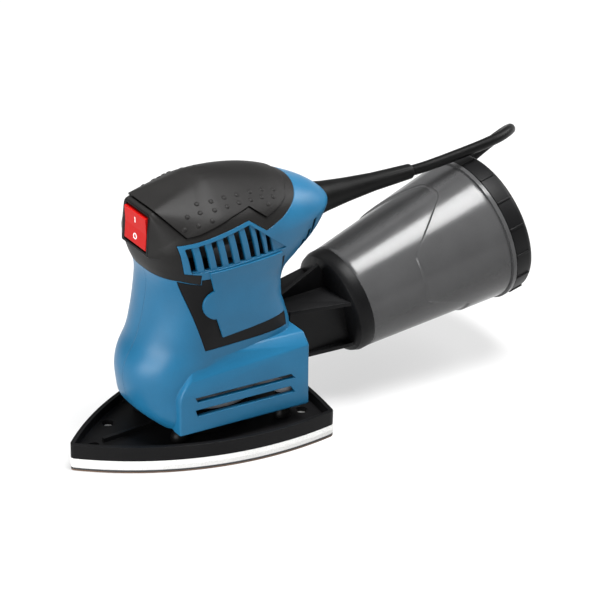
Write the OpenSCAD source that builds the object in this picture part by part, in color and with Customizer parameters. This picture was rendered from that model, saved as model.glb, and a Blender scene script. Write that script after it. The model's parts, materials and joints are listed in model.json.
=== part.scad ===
// Detail sander: a delta sanding plate on an eccentric, a palm grip and a dust box at the rear.
// Millimetres. The origin is on the sanding face, on the motor axis.
// The tip of the plate points to -X, the dust box to +X, and +Z is up.

/* [Sanding plate] */
// Reach from the motor axis to the tip of the plate
plate_tip = 88; // [80:1:100]
// Reach from the motor axis to the middle of the rear edge
plate_rear = 63; // [58:1:72]
// Full width of the plate
plate_width = 102; // [96:1:116]
// Distance behind the motor axis where the plate is widest
plate_widest = 38; // [28:1:46]
// How far the rear edge bulges between its corners
plate_bulge = 4.5; // [2:0.5:8]
// Rounding of the plate's corners
plate_corner = 2.5; // [1:0.5:5]
// Thickness of the abrasive sheet
sheet_t = 0.8; // [0.5:0.1:1.5]
// Thickness of the hook layer
hook_t = 1.2; // [0.8:0.1:2]
// Thickness of the foam cushion
foam_t = 5.8; // [4:0.2:9]
// Thickness of the plate's floor
plate_floor_t = 3.2; // [3:0.2:5]
// Height of the plate's rim above the floor
rim_rise = 5.6; // [3:0.2:9]
// Wall of the plate's rim
rim_t = 2.6; // [1.6:0.2:4]
// Radius of the dust holes
dust_hole_r = 3.5; // [2:0.25:4.5]

/* [Drive] */
// Offset of the eccentric pin, half the orbit
orbit_r = 0.8; // [0.4:0.1:1.2]
// Radius of the shaft
shaft_r = 5; // [4.6:0.1:5.6]
// Radius of the shaft in the upper bearing
shaft_top_r = 4; // [3.4:0.1:4.4]
// Radius of the eccentric pin
pin_r = 6; // [5.8:0.1:6.4]
// Outer radius of the plate bearing
plate_bearing_r = 14; // [13:0.5:16]
// Outer radius of the lower bearing
lower_bearing_r = 13; // [12:0.5:15]
// Outer radius of the upper bearing
upper_bearing_r = 11; // [10:0.5:12]
// Width of the plate bearing and of the lower bearing
bearing_w = 8; // [7:0.5:9]
// Width of the upper bearing
upper_bearing_w = 7; // [6:0.5:8]
// Radius swept by the counterweight
weight_r = 24; // [20:0.5:24.5]
// Thickness of the counterweight
weight_t = 8; // [5:0.5:8.5]
// Radius of the fan
fan_r = 26.5; // [22:0.5:27]
// Height of the fan
fan_h = 14; // [10:0.5:15]
// Number of fan blades
fan_blades = 13; // [9:1:17]
// Radius of the armature
armature_r = 13.6; // [12.5:0.1:14]
// Length of the armature stack
armature_len = 34; // [30:1:35]
// Radius of the stator
stator_r = 25; // [24:0.25:25.5]
// Length of the stator stack
stator_len = 36; // [32:1:37]
// Gap between armature and stator
air_gap = 0.6; // [0.4:0.1:0.8]
// Radius of the commutator
commutator_r = 10; // [9:0.5:11]
// Length of the commutator
commutator_len = 11; // [9:0.5:12]
// Width of a brush
brush_w = 5; // [4:0.25:6]
// Height of a brush
brush_h = 7; // [5:0.25:7.5]
// Length of a brush
brush_len = 11; // [9:0.5:11.5]
// Travel of a brush against its spring
brush_travel = 2; // [1:0.25:2.5]

/* [Housing] */
// Gap between the rim of the plate and the housing
skirt_gap = 4.9; // [3.5:0.1:6]
// Wall of the housing
wall = 2.8; // [2.2:0.1:3.2]
// Height of the fullest place of the chin
chin_z = 51; // [48:1:54]
// Height of the waist
waist_z = 104; // [101:1:107]
// Height of the fullest place of the head
head_z = 134; // [132:1:137]
// Height of the crown
crown_z = 164; // [162:1:170]
// Reach of the chin in front of the motor axis
chin_reach = 52.5; // [50:0.5:60]
// Reach of the waist in front of the motor axis
waist_front = 36.5; // [36:0.5:40]
// Reach of the waist behind the motor axis
waist_rear = 41; // [40:0.5:44]
// Reach of the head in front of the motor axis
head_front = 43; // [42:0.5:48]
// Reach of the head behind the motor axis
head_rear = 79.5; // [77:0.5:84]
// Reach of the body behind the motor axis
body_rear = 46.5; // [45:0.5:50]
// Width of the waist
waist_width = 66; // [64:1:72]
// Width of the head
head_width = 70; // [68:1:76]
// Width of the skirt at its front end
skirt_front_w = 66; // [62:1:72]
// Width of the skirt at its rear end
skirt_rear_w = 82; // [78:1:90]
// Reach of the skirt panels in front of the motor axis
skirt_front = 35; // [32:0.5:38]
// Height of the skirt panels at the front
skirt_top_front = 55.5; // [52:0.5:58]
// Height of the skirt panels at the rear
skirt_top_rear = 60; // [57:0.5:62]
// Width of the bevel above the skirt panels
skirt_bevel = 6; // [4:0.5:8]
// Rounding of the front corner of the skirt panels
skirt_round = 14; // [8:0.5:18]
// Half width of a cooling slot
vent_r = 1.9; // [1.2:0.1:2.3]
// Thickness of the inlays on the sides
inlay_t = 1.2; // [0.8:0.1:1.4]
// Thickness of the label plates
label_t = 1.2; // [0.8:0.1:2]
// Thickness of the soft pad on the grip
pad_t = 1.0; // [0.6:0.1:1.6]

/* [Switch] */
// Width of the rocker
rocker_w = 22; // [18:0.5:22]
// Height of the rocker
rocker_h = 19.4; // [17:0.2:20]
// Travel of the rocker, in degrees
rocker_travel = 9; // [7:1:10]

/* [Cord] */
// Diameter of the cord
cord_d = 6.4; // [6:0.1:6.6]
// Radius of the strain relief at the housing
relief_r = 10.2; // [9:0.2:11]
// Radius of the strain relief at its free end
relief_tip_r = 4.5; // [4.2:0.1:5.4]
// Turns in each of the coil's two layers
coil_turns = 3; // [3]

/* [Dust box] */
// Tilt of the dust box
box_tilt = 12; // [10:0.5:13]
// Length of the canister
canister_len = 96; // [92:1:99]
// Radius of the canister at the front
canister_front_r = 32; // [31:0.2:33]
// Radius of the canister at the rear
canister_rear_r = 43; // [42:0.2:43.6]
// Wall of the canister
canister_t = 2; // [1.4:0.1:2.4]
// Depth of the collar in front of the canister
collar_len = 10; // [8:0.5:12]
// Depth of the lid
lid_len = 13; // [11:0.5:14]
// Number of finger ribs on the lid
lid_ribs = 16; // [12:2:20]
// Inner width of the dust outlet
outlet_w = 30; // [28:0.2:32]
// Inner height of the dust outlet
outlet_h = 31; // [29:0.2:32]
// Number of folds of the filter
filter_folds = 24; // [16:2:30]

/* [Hidden] */

// Clearances: between still pieces, between moving pieces, and in a running fit
still_gap = 0.2;
move_gap = 0.4;
press_gap = 0.02;
bearing_gap = 0.3;
far = 200;

// Heights of the stack, from the sanding face upwards
plate_z = sheet_t + hook_t + foam_t;
floor_z = plate_z + plate_floor_t;
rim_z = floor_z + rim_rise;
skirt_z = rim_z + skirt_gap;
hub_rise = bearing_w + 0.4;
weight_z = floor_z + hub_rise + 1.1;
flange_z = weight_z + weight_t + 1.3;
flange_t = bearing_w + 1.7;
flange_top = flange_z + flange_t;
lower_bearing_z = flange_z + 0.7;
fan_z = flange_top + 1.5;
shroud_z = fan_z + fan_h + 1.5;
shroud_t = 2;
winding_over = 4;
stator_z = shroud_z + shroud_t + winding_over + 1;
stator_top = stator_z + stator_len;
armature_z = stator_z + (stator_len - armature_len) / 2;
commutator_z = stator_top + winding_over + 1.5;
commutator_top = commutator_z + commutator_len;
brush_z = commutator_z + commutator_len / 2;
bridge_z = commutator_top + 2;
upper_bearing_z = bridge_z + 1;
bridge_top = upper_bearing_z + upper_bearing_w + 2;
shaft_top = upper_bearing_z + upper_bearing_w + 0.6;
shaft_base = weight_z - 0.6;
pin_base = floor_z + 0.6;

// Plan of the sanding plate: two side arcs and a rear arc
plate_half = plate_width / 2;
side_arc_r = ((plate_tip + plate_widest) ^ 2 + plate_half ^ 2) / (2 * plate_half);
rear_arc_r = (plate_half ^ 2 + plate_bulge ^ 2) / (2 * plate_bulge);
dust_holes = [[-0.82 * plate_tip, 0], [-0.6 * plate_tip, 17], [-0.6 * plate_tip, -17],
    [-10, 0.72 * plate_half], [-10, -0.72 * plate_half], [plate_rear - 14, 0],
    [plate_rear - 14, 0.6 * plate_half], [plate_rear - 14, -0.6 * plate_half]];

// Legs between plate and housing
leg_r = 5;
leg_waist_r = 3.8;
leg_screw_r = 2;
leg_screw_reach = 7;
leg_places = [[-28, 20.5], [-28, -20.5], [36, 29.5], [36, -29.5]];
leg_pad_r = leg_r + 1.5;
leg_head_r = 3.4;
leg_head_h = 2;

// Motor frame: two webs on the long sides of the motor
web_t = 2.5;
web_x = stator_r + 3.3;
web_w = 20;
flange_r = web_x + web_t + 0.4;
seal_r = weight_r + 1.2;

// Brush gear
holder_t = 1.2;
brush_gap = 0.15;
brush_y = commutator_r + move_gap;
holder_y = commutator_r + 2;
holder_len = brush_len + brush_travel + 3.4;
holder_w = brush_w + 2 * brush_gap + 2 * holder_t;
holder_h = brush_h + 2 * brush_gap + 2 * holder_t;
spring_wire = 0.7;
spring_r = 1.7;
spring_turns = 4;

// Grip, inlay and label outlines seen from the side, as X and Z
waist_half = waist_width / 2;
head_half = head_width / 2;
grip_edge = [[-80, 115.5], [-30, 115], [-20, 112.5], [-20, 119], [-29, 120.5], [-33, 138],
    [9.5, 145], [21, 136.2], [33, 140], [43, 144.6], [54.5, 151], [58, 190], [-80, 190]];
pad_edge = [[-40, 156.6], [-28, 142.8], [-21.3, 144], [-13.1, 146.3], [-1.1, 149.4], [12.4, 151.4],
    [21.6, 144.2], [32.8, 147], [39.1, 148.9], [42.6, 151.5], [46, 153.2], [48, 154.4], [50, 190], [-40, 190]];
inlay_edge = [[-17.5, 70.5], [39, 69.5], [35, 115.5], [-19.6, 115.5], [-19.6, 112.2], [-31, 114.5]];
label_edge = [[-7, 77], [37, 79.5], [32, 117.5], [-16, 117.5], [-11, 92]];
label_lobe = [-10.5, 99];
label_lobe_r = 9;

// Cooling slots in the head, from the front to the rear
vent_count = 8;
vent_pitch = 7.1;
vent_first = -27.5;
vent_low = 122.6;
vent_lean = 4.6;
vent_rise_line = 140;
vent_rise_slope = 0.15;
vent_fall_line = 149.5;
vent_fall_slope = -0.81;
rear_slots = [[58, 109], [64, 114], [70, 119.5]];
rear_slot_half = 11;
skirt_slots = [[42, 3.2], [33.5, 4.4]];
skirt_slot_front = -24;
skirt_slot_rear = 38;

// Case screws, as X and Z
screw_r = 1.8;
screw_head_r = 2.9;
screw_head_y = 19;
screw_tip_y = -13;
screw_boss_r = 4;
screw_places = [[-41, 36], [35.4, 77], [-38, 60], [48, 116]];

// Switch in the front of the head
rocker_z = 140.7;
rocker_pin_x = -head_front + 5.5;
rocker_nose = 5.8;
rocker_dip = 5.2;
rocker_lean = 5;
rocker_pin_r = 1.5;
rocker_pin_seat = 1.2;
frame_wall = 1.6;
frame_lip = 1;
frame_corner = 1.6;
frame_hole_w = rocker_w + 2 * move_gap;
frame_hole_h = rocker_h + 2.8;
frame_front = -head_front - 0.4;
frame_slope = 1.8;
frame_depth = 12;
module_len = 15;
module_h = 14.4;
frame_fall = 8.2;
frame_brow = 3.2;
brow_rim = 1;
brow_base = 128;
brow_reach = -8;
brow_sink = 0.15;
terminal_y = 5;
wire_r = 0.9;
capacitor_size = [17, 16, 12];

// Cord, its relief and its clamp
cord_r = cord_d / 2;
cord_z = 127.2;
relief_base = 76;
relief_end = 145;
relief_flange_r = 12.2;
relief_flange_x = 63.5;
relief_flange_t = 2.6;
relief_wall_t = 2;
clamp_x = 54;
clamp_len = 8;
clamp_half = 13;
clamp_screw_y = 9;
clamp_screw_r = 1.6;
cord_inner_end = 46;

// Dust outlet and adapter
outlet_z = 52.2;
outlet_t = 1.6;
duct_front = web_x + web_t + 0.7;
duct_rear = body_rear + 2.5;
spigot_front = duct_front + 2.5;
spigot_t = 1.8;
neck_x = duct_rear + 0.5;
neck_half_w = outlet_w / 2 + 1.5;
neck_half_h = outlet_h / 2 + 0.8;
web_plate_t = 2.4;
box_x = 98;
box_z = 56.9;
collar_lip = 6;
collar_wall = 2.4;
lid_gap = 0.3;
lid_r = canister_rear_r + 1.7;
lid_wall = 2.4;
lid_sleeve_len = 8.5;
lid_sleeve_r = canister_inner_r(canister_len - lid_sleeve_len) - 0.5;
seal_wire_r = 1;
seal_s = canister_len - lid_sleeve_len / 2;
filter_front = 40;
filter_ring_t = 2.5;
filter_r = 28.5;
filter_fold = 8;
filter_paper = 1.2;
filter_end = canister_len - lid_sleeve_len - filter_ring_t;

// Route of the free lead, from the strain relief to the coil on the floor
lead_route = [[145, 0, 127.2], [155, 0, 127.3], [166, 0, 128], [178, 0, 129], [190, 0, 130.1],
    [202, 0.3, 131.3], [213, 2, 132], [223, 7, 131.2], [231, 15, 127.5], [236, 25, 121],
    [238, 36, 112], [237.7, 46.6, 101.5], [235.3, 56.7, 90], [231, 64.2, 79], [225.1, 69.7, 67],
    [218.2, 74.2, 55], [211.2, 78.2, 43.5], [204.7, 83, 31.5], [199.6, 89.4, 20.5], [197.8, 98.9, 11.5],
    [199.5, 108.5, 7]];
coil_centre = [250, 99];
coil_outer = 49.5;
coil_pitch = 7;
coil_low = 4.4;
coil_start = 150;
coil_steps = 24;
coil_sides = 6;
tube_sides = 10;
tail_points = [[237, 50, 11], [225, 52, 9], [213.4, 55.2, 7], [207.6, 56.75, 7]];
tie_t = 1;
tie_w = 12;
tie_turn = 50;

// Plug on the floor beside the coil
plug_place = [207.6, 56.75, 7];
plug_turn = 165;
plug_relief_len = 18;
plug_body_len = 34;
plug_half_w = 17.5;
plug_half_t = 6.8;
plug_pin_r = 2.4;
plug_pin_len = 19;
plug_pin_y = 9.5;

// Colours
blue = "#2f78b4";
black = "#1d1d1f";
soft_black = "#2a2a2c";
steel = "#b8bcc0";
copper = "#b5692c";

// Functions

function mix(a, b, t) = a + (b - a) * t;
function unit(v) = v / norm(v);
function canister_outer_r(s) = mix(canister_front_r, canister_rear_r, s / canister_len);
function canister_inner_r(s) = canister_outer_r(s) - canister_t;

// Control sections of the housing, from the skirt to the crown:
// height, front, rear, half width, roundness at the front, roundness at the rear
housing_sections = [
    [skirt_z, -(chin_reach - 14), body_rear - 0.5, waist_half - 1, 3.4, 6],
    [mix(skirt_z, chin_z, 0.3), -(chin_reach - 5), body_rear, waist_half, 2.6, 6],
    [mix(skirt_z, chin_z, 0.63), -(chin_reach - 1.5), body_rear, waist_half - 1, 2.3, 6],
    [chin_z, -chin_reach, body_rear, waist_half - 1.5, 2.2, 6],
    [mix(chin_z, waist_z, 0.17), -(chin_reach - 2), body_rear, waist_half - 1.5, 2.2, 6],
    [mix(chin_z, waist_z, 0.36), mix(-chin_reach, -waist_front, 0.48), body_rear, waist_half - 1, 2.15, 5],
    [mix(chin_z, waist_z, 0.55), mix(-chin_reach, -waist_front, 0.71), mix(body_rear, waist_rear, 0.5),
        waist_half - 0.4, 2.2, 4.5],
    [mix(chin_z, waist_z, 0.77), mix(-chin_reach, -waist_front, 0.89), waist_rear, waist_half, 2.25, 4],
    [waist_z, -waist_front, waist_rear + 5, waist_half, 2.4, 3.3],
    [mix(waist_z, head_z, 0.27), -waist_front - 0.8, mix(waist_rear, head_rear, 0.44), waist_half + 0.5, 2.5, 2.9],
    [mix(waist_z, head_z, 0.53), mix(-waist_front, -head_front, 0.6), mix(waist_rear, head_rear, 0.75),
        head_half - 0.5, 2.6, 2.6],
    [mix(waist_z, head_z, 0.8), mix(-waist_front, -head_front, 0.93), mix(waist_rear, head_rear, 0.95),
        head_half, 2.8, 2.4],
    [head_z, -head_front, head_rear, head_half, 2.9, 2.3],
    [mix(head_z, crown_z, 0.26), -head_front + 1.5, head_rear - 9, head_half - 0.6, 2.55, 2.2],
    [mix(head_z, crown_z, 0.48), -head_front + 5.4, head_rear - 21.5, head_half - 3.2, 1.92, 2.2],
    [mix(head_z, crown_z, 0.68), -(head_front - 11.8), head_rear - 34.3, head_half - 11, 1.82, 2.2],
    [mix(head_z, crown_z, 0.84), -(head_front - 22), head_rear - 48.3, head_half - 19.2, 2, 2.1],
    [mix(head_z, crown_z, 0.95), -(head_front - 31.8), head_rear - 65.8, head_half - 25.8, 2.1, 2],
    [crown_z, -(head_front - 37), head_rear - 76.5, head_half - 30.5, 2, 2]];

// A smooth curve through a list of points or sections
function spline_at(p, i, t) =
    let (a = p[max(i - 1, 0)], b = p[i], c = p[i + 1], d = p[min(i + 2, len(p) - 1)])
    0.5 * (2 * b + (c - a) * t + (2 * a - 5 * b + 4 * c - d) * t ^ 2 + (3 * b - a - 3 * c + d) * t ^ 3);
function spline(p, steps) = concat(
    [for (i = [0 : len(p) - 2], k = [0 : steps - 1]) spline_at(p, i, k / steps)], [p[len(p) - 1]]);

// One closed section of the housing, moved inwards by inset
function power(a, e) = sign(a) * pow(abs(a), e);
function section_point(s, inset, a) =
    let (front = s[1] + inset, rear = s[2] - inset, half = max(s[3] - inset, 1),
        mid = mix(front, rear, 0.36), n = cos(a) < 0 ? s[4] : s[5],
        lift = inset * max(0, min(1, (s[0] - head_z) / (crown_z - head_z))) ^ 2)
    [mid + (cos(a) < 0 ? mid - front : rear - mid) * power(cos(a), 2 / n),
        half * power(sin(a), 2 / n), s[0] - lift];
function section_ring(s, inset, n) = [for (k = [0 : n - 1]) section_point(s, inset, 360 * k / n)];

// A tube along a path: rings of points square to it
function tangent(p, i) = unit(p[min(i + 1, len(p) - 1)] - p[max(i - 1, 0)]);
function tube_ring(p, i, r, n, ref) =
    let (t = tangent(p, i), b = unit(cross(t, ref)), c = cross(b, t))
    [for (k = [0 : n - 1]) p[i] + r * (cos(360 * (k + 0.5) / n) * b + sin(360 * (k + 0.5) / n) * c)];

// The coil: in along the lower layer, up in the half turn where it reverses, out along the upper
coil_half = 360 * (coil_turns + 1 / 3);
function coil_radius(a) = coil_outer - coil_pitch * (a < coil_half ? a : 2 * coil_half - a) / 360;
function coil_climb(a) = max(0, min(1, (a - coil_half + 90) / 180));
function coil_point(a) =
    [coil_centre[0] + coil_radius(a) * cos(coil_start - a),
        coil_centre[1] + coil_radius(a) * sin(coil_start - a), coil_low + coil_pitch * coil_climb(a)];
coil_path = [for (k = [0 : 2 * coil_half / 360 * coil_steps]) coil_point(360 * k / coil_steps)];
coil_heading = [sin(coil_start), -cos(coil_start), 0];
coil_tube_path = concat([coil_path[0], coil_path[0] + coil_heading],
    [for (k = [1 : len(coil_path) - 1]) coil_path[k]], tail_points);
lead_path = concat(lead_route, [coil_path[0] - cord_d * coil_heading, coil_path[0]]);

// Least gap of the coil to itself, measured between its rings a quarter turn or more apart
coil_gap = min([for (i = [0 : len(coil_path) - 1], j = [i + 6 : 1 : len(coil_path) - 1])
    norm(coil_path[i] - coil_path[j])]) - cord_d;
echo(coil_gap = coil_gap);
function path_length(p) = let (d = [for (i = [1 : len(p) - 1]) norm(p[i] - p[i - 1])]) d * [for (x = d) 1];
echo(cord_length = path_length(lead_path) + path_length(coil_tube_path));

// Helper modules

module loft(rings) {
    n = len(rings[0]);
    m = len(rings);
    polyhedron(
        points = [for (r = rings) each r],
        faces = concat(
            [for (j = [0 : m - 2], k = [0 : n - 1]) [j * n + k, (j + 1) * n + k, (j + 1) * n + (k + 1) % n]],
            [for (j = [0 : m - 2], k = [0 : n - 1]) [j * n + k, (j + 1) * n + (k + 1) % n, j * n + (k + 1) % n]],
            [[for (k = [0 : n - 1]) k]],
            [[for (k = [n - 1 : -1 : 0]) (m - 1) * n + k]]));
}

// A freeform skin is kept as one mesh
module one_mesh() {
    resize([0, 0, 0])
        children();
}

module tube(path, r, n, ref) {
    loft([for (i = [0 : len(path) - 1]) tube_ring(path, i, r, n, ref)]);
}

module housing_form(inset, n = 40, steps = 2) {
    sections = spline(housing_sections, steps);
    loft([for (s = sections) section_ring(s, inset, n)]);
}

module skirt_form(inset) {
    front = -skirt_front + inset;
    rear = body_rear - inset;
    a = skirt_front_w / 2 - inset;
    b = skirt_rear_w / 2 - inset;
    top = skirt_top_front - inset;
    hull() {
        for (k = [0 : 3])
            translate([0, 0, skirt_z])
                linear_extrude(top - skirt_round * (1 - sin(30 * k)) - skirt_z)
                    polygon([[front + skirt_round * (1 - cos(30 * k)), -a], [rear, -b], [rear, b],
                        [front + skirt_round * (1 - cos(30 * k)), a]]);
        translate([rear - 1, -b, skirt_z])
            cube([1, 2 * b, skirt_top_rear - inset - skirt_z]);
        translate([0, 0, skirt_top_rear - inset])
            linear_extrude(skirt_bevel)
                polygon([[front + skirt_round, -a + skirt_bevel], [rear, -b + skirt_bevel],
                    [rear, b - skirt_bevel], [front + skirt_round, a - skirt_bevel]]);
    }
}

module side_prism(edge) {
    rotate([90, 0, 0])
        linear_extrude(2 * far, center = true)
            polygon(edge);
}

module side_outline(edge, side, grow) {
    translate([0, side * far / 2, 0])
        rotate([90, 0, 0])
            linear_extrude(far, center = true)
                offset(delta = grow)
                    polygon(edge);
}

module half_space(side) {
    translate([0, side * (far + 0.05), 0])
        cube(2 * far, center = true);
}

module along_x(x) {
    translate([x, 0, 0])
        rotate([0, 90, 0])
            children();
}

module box_frame() {
    translate([box_x, 0, box_z])
        rotate([0, 90 - box_tilt, 0])
            children();
}

module ring(outer, inner, h) {
    difference() {
        cylinder(r = outer, h = h, $fn = 64);
        translate([0, 0, -1])
            cylinder(r = inner, h = h + 2, $fn = 64);
    }
}

module bearing_outer(outer, inner, w) {
    track = (outer - inner) * 0.3;
    ring(outer, outer - track, w);
    ring(outer - track / 2, inner + track + bearing_gap, 0.8);
    translate([0, 0, w - 0.8])
        ring(outer - track / 2, inner + track + bearing_gap, 0.8);
}

module bearing_inner(outer, inner, w) {
    track = (outer - inner) * 0.3;
    ring(inner + track, inner + press_gap, w);
}

module plate_outline() {
    offset(r = plate_corner)
        offset(delta = -plate_corner)
            intersection_for (side = [-1, 0, 1])
                translate(side == 0 ? [plate_rear - rear_arc_r, 0]
                        : [plate_widest, side * (side_arc_r - plate_half)])
                    circle(r = side == 0 ? rear_arc_r : side_arc_r, $fn = 200);
}

module plate_layer(z, t) {
    difference() {
        translate([0, 0, z])
            linear_extrude(t)
                plate_outline();
        for (p = dust_holes)
            translate([p[0], p[1], z - 1])
                cylinder(r = dust_hole_r, h = t + 2, $fn = 32);
    }
}

module at_each(places) {
    for (p = places)
        translate([p[0], p[1], 0])
            children();
}

module vent_cuts(side) {
    for (i = [0 : vent_count - 1]) {
        x = vent_first + i * vent_pitch;
        top = min(vent_rise_line + vent_rise_slope * x, vent_fall_line + vent_fall_slope * x);
        hull() {
            translate([x, side * far / 2 + side * 24, top])
                rotate([90, 0, 0])
                    cylinder(r = vent_r, h = far, center = true, $fn = 16);
            translate([x + vent_lean * (top - vent_low) / 17, side * far / 2 + side * 24, vent_low])
                rotate([90, 0, 0])
                    cylinder(r = vent_r, h = far, center = true, $fn = 16);
        }
    }
}

module rear_cuts() {
    for (p = rear_slots)
        hull()
            for (y = [-rear_slot_half, rear_slot_half])
                translate([p[0], y, p[1]])
                    rotate([0, 135, 0])
                        cylinder(r = 1.5, h = 14, center = true, $fn = 16);
}

module skirt_cuts(side) {
    for (s = skirt_slots)
        translate([0, side * far / 2 + side * 20, 0])
            rotate([90, 0, 0])
                linear_extrude(far, center = true)
                    polygon([[skirt_slot_front, s[0] - s[1] / 2], [skirt_slot_rear, s[0] - s[1] / 2],
                        [skirt_slot_rear - 3, s[0] + s[1] / 2], [skirt_slot_front - 1.5, s[0] + s[1] / 2]]);
}

module screw_holes(r) {
    for (p = screw_places)
        translate([p[0], 0, p[1]])
            rotate([90, 0, 0])
                cylinder(r = r, h = 2 * far, center = true, $fn = 24);
}

// Inside of the housing, with the room that the motor frame and the duct need
module housing_room() {
    housing_form(wall, 28, 1);
    skirt_form(wall);
    translate([0, 0, skirt_z - far])
        linear_extrude(far + 0.5)
            polygon([[-(chin_reach - 14) + wall, -waist_half + wall + 4], [body_rear - wall, -waist_half],
                [body_rear - wall, waist_half], [-(chin_reach - 14) + wall, waist_half - wall - 4]]);
}

// Shelf over the motor flange, the wall behind the strain relief and the seats of the cord clamp
module housing_ribs() {
    difference() {
        translate([-far, -far, flange_top + still_gap])
            cube([2 * far, 2 * far, 2.4]);
        cylinder(r = fan_r + 1.5, h = far, $fn = 64);
        translate([-web_x - web_t - still_gap, -web_w / 2 - still_gap, 0])
            cube([2 * (web_x + web_t + still_gap), web_w + 2 * still_gap, far]);
        translate([duct_front - still_gap, -far, 0])
            cube([far, 2 * far, far]);
        at_each(leg_places)
            cylinder(r = leg_head_r + 0.8, h = far, $fn = 24);
    }
    translate([relief_flange_x + relief_flange_t + still_gap, -far, 100])
        cube([relief_wall_t, 2 * far, 42]);
    for (y = [-clamp_screw_y, clamp_screw_y])
        translate([clamp_x, y - 4, 100])
            cube([clamp_len, 8, cord_z - 1.8 - 100]);
}

module housing_half(side) {
    difference() {
        intersection() {
            union() {
                difference() {
                    union() {
                        housing_form(0);
                        skirt_form(0);
                    }
                    housing_room();
                }
                intersection() {
                    union() {
                        housing_form(0.6, 28, 1);
                        skirt_form(0.6);
                    }
                    union() {
                        housing_ribs();
                        screw_holes(screw_boss_r);
                    }
                }
            }
            half_space(side);
        }
        side_prism(grip_edge);
        difference() {
            side_outline(inlay_edge, side, 0.15);
            housing_form(inlay_t + 0.1);
        }
        vent_cuts(side);
        rear_cuts();
        skirt_cuts(side);
        screw_holes(screw_r + still_gap);
        if (side > 0)
            for (p = screw_places)
                translate([p[0], screw_head_y - still_gap, p[1]])
                    rotate([-90, 0, 0])
                        cylinder(r = screw_head_r + move_gap, h = far, $fn = 24);
        translate([0, 0, cord_z])
            along_x(clamp_x - 1)
                cylinder(r = cord_r + still_gap, h = far, $fn = 24);
        translate([0, 0, cord_z])
            along_x(relief_flange_x - still_gap)
                cylinder(r = relief_flange_r + still_gap, h = relief_flange_t + 2 * still_gap, $fn = 32);
        translate([0, 0, cord_z])
            along_x(relief_flange_x + relief_flange_t)
                cylinder(r = relief_r + still_gap, h = far, $fn = 32);
        for (y = [-clamp_screw_y, clamp_screw_y])
            translate([clamp_x + clamp_len / 2, y, 100])
                cylinder(r = clamp_screw_r + still_gap, h = far, $fn = 16);
        translate([duct_front, -outlet_w / 2 - outlet_t - still_gap,
                outlet_z - outlet_h / 2 - outlet_t - still_gap])
            cube([far, outlet_w + 2 * outlet_t + 2 * still_gap, outlet_h + 2 * outlet_t + 2 * still_gap]);
    }
}

// Housing and covers

module housing_left() {
    color(blue)
        housing_half(-1);
}

module housing_right() {
    color(blue)
        housing_half(1);
}

// Opening of the grip around the switch frame
module frame_prism(w, grow, front, drop) {
    low = -frame_hole_h / 2 - frame_lip;
    top = frame_hole_h / 2 + frame_lip - drop;
    translate([frame_front, 0, rocker_z])
        rotate([90, 0, 0])
            linear_extrude(w, center = true)
                offset(delta = grow)
                    polygon([[-front, low], [frame_depth, low], [frame_depth, top - frame_fall],
                        [frame_slope + frame_brow, top], [frame_slope - front, top]]);
}

module frame_block(grow, front) {
    w = frame_hole_w + 2 * frame_wall + 2 * grow;
    hull() {
        frame_prism(w, grow, front, frame_corner);
        frame_prism(w - 2 * frame_corner, grow, front, 0);
    }
}

module switch_opening() {
    frame_block(still_gap, far);
}

module grip_form(inset) {
    housing_form(inset);
    hull() {
        intersection() {
            housing_form(inset + brow_sink);
            translate([-far, -far, brow_base])
                cube([far + brow_reach, 2 * far, far]);
        }
        translate([brow_rim, 0, 0])
            frame_block(brow_rim - inset, 0);
    }
}

module grip_shell() {
    color(soft_black)
        one_mesh()
            difference() {
                intersection() {
                    difference() {
                        grip_form(0);
                        housing_form(wall, 28, 1);
                    }
                    rotate([90, 0, 0])
                        linear_extrude(2 * far, center = true)
                            offset(delta = -still_gap)
                                polygon(grip_edge);
                }
                switch_opening();
            }
}

module grip_pad() {
    color(black)
        one_mesh()
            difference() {
                intersection() {
                    difference() {
                        grip_form(-pad_t);
                        grip_form(-0.05);
                    }
                    side_prism(pad_edge);
                }
                switch_opening();
            }
}

module side_inlay(side) {
    color(black)
        one_mesh()
            intersection() {
                difference() {
                    housing_form(0);
                    housing_form(inlay_t);
                }
                side_outline(inlay_edge, side, -0.1);
            }
}

module side_inlay_left() {
    side_inlay(-1);
}

module side_inlay_right() {
    side_inlay(1);
}

module label_plate(side) {
    color(blue)
        one_mesh()
            intersection() {
                difference() {
                    housing_form(-label_t);
                    housing_form(-0.05);
                }
                translate([0, side * far / 2, 0])
                    rotate([90, 0, 0])
                        linear_extrude(far, center = true)
                            union() {
                                polygon(label_edge);
                                translate(label_lobe)
                                    circle(r = label_lobe_r, $fn = 32);
                            }
            }
}

module label_plate_left() {
    label_plate(-1);
}

module label_plate_right() {
    label_plate(1);
}

module housing_screws() {
    color(steel)
        for (p = screw_places)
            translate([p[0], screw_tip_y, p[1]])
                rotate([-90, 0, 0]) {
                    cylinder(r = screw_r, h = screw_head_y - screw_tip_y, $fn = 32);
                    translate([0, 0, screw_head_y - screw_tip_y])
                        difference() {
                            cylinder(r = screw_head_r, h = 2.4, $fn = 32);
                            translate([0, 0, 1])
                                cylinder(r = 1.5, h = 2, $fn = 6);
                        }
                }
}

// Switch

module switch_frame() {
    color(black)
        difference() {
            frame_block(0, 0);
            translate([frame_front - 1, -frame_hole_w / 2, rocker_z - frame_hole_h / 2])
                cube([frame_depth + 2, frame_hole_w, frame_hole_h]);
            translate([rocker_pin_x, 0, rocker_z])
                rotate([90, 0, 0])
                    cylinder(r = rocker_pin_r + 0.1, h = frame_hole_w + 2 * rocker_pin_seat, center = true, $fn = 32);
        }
}

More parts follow.
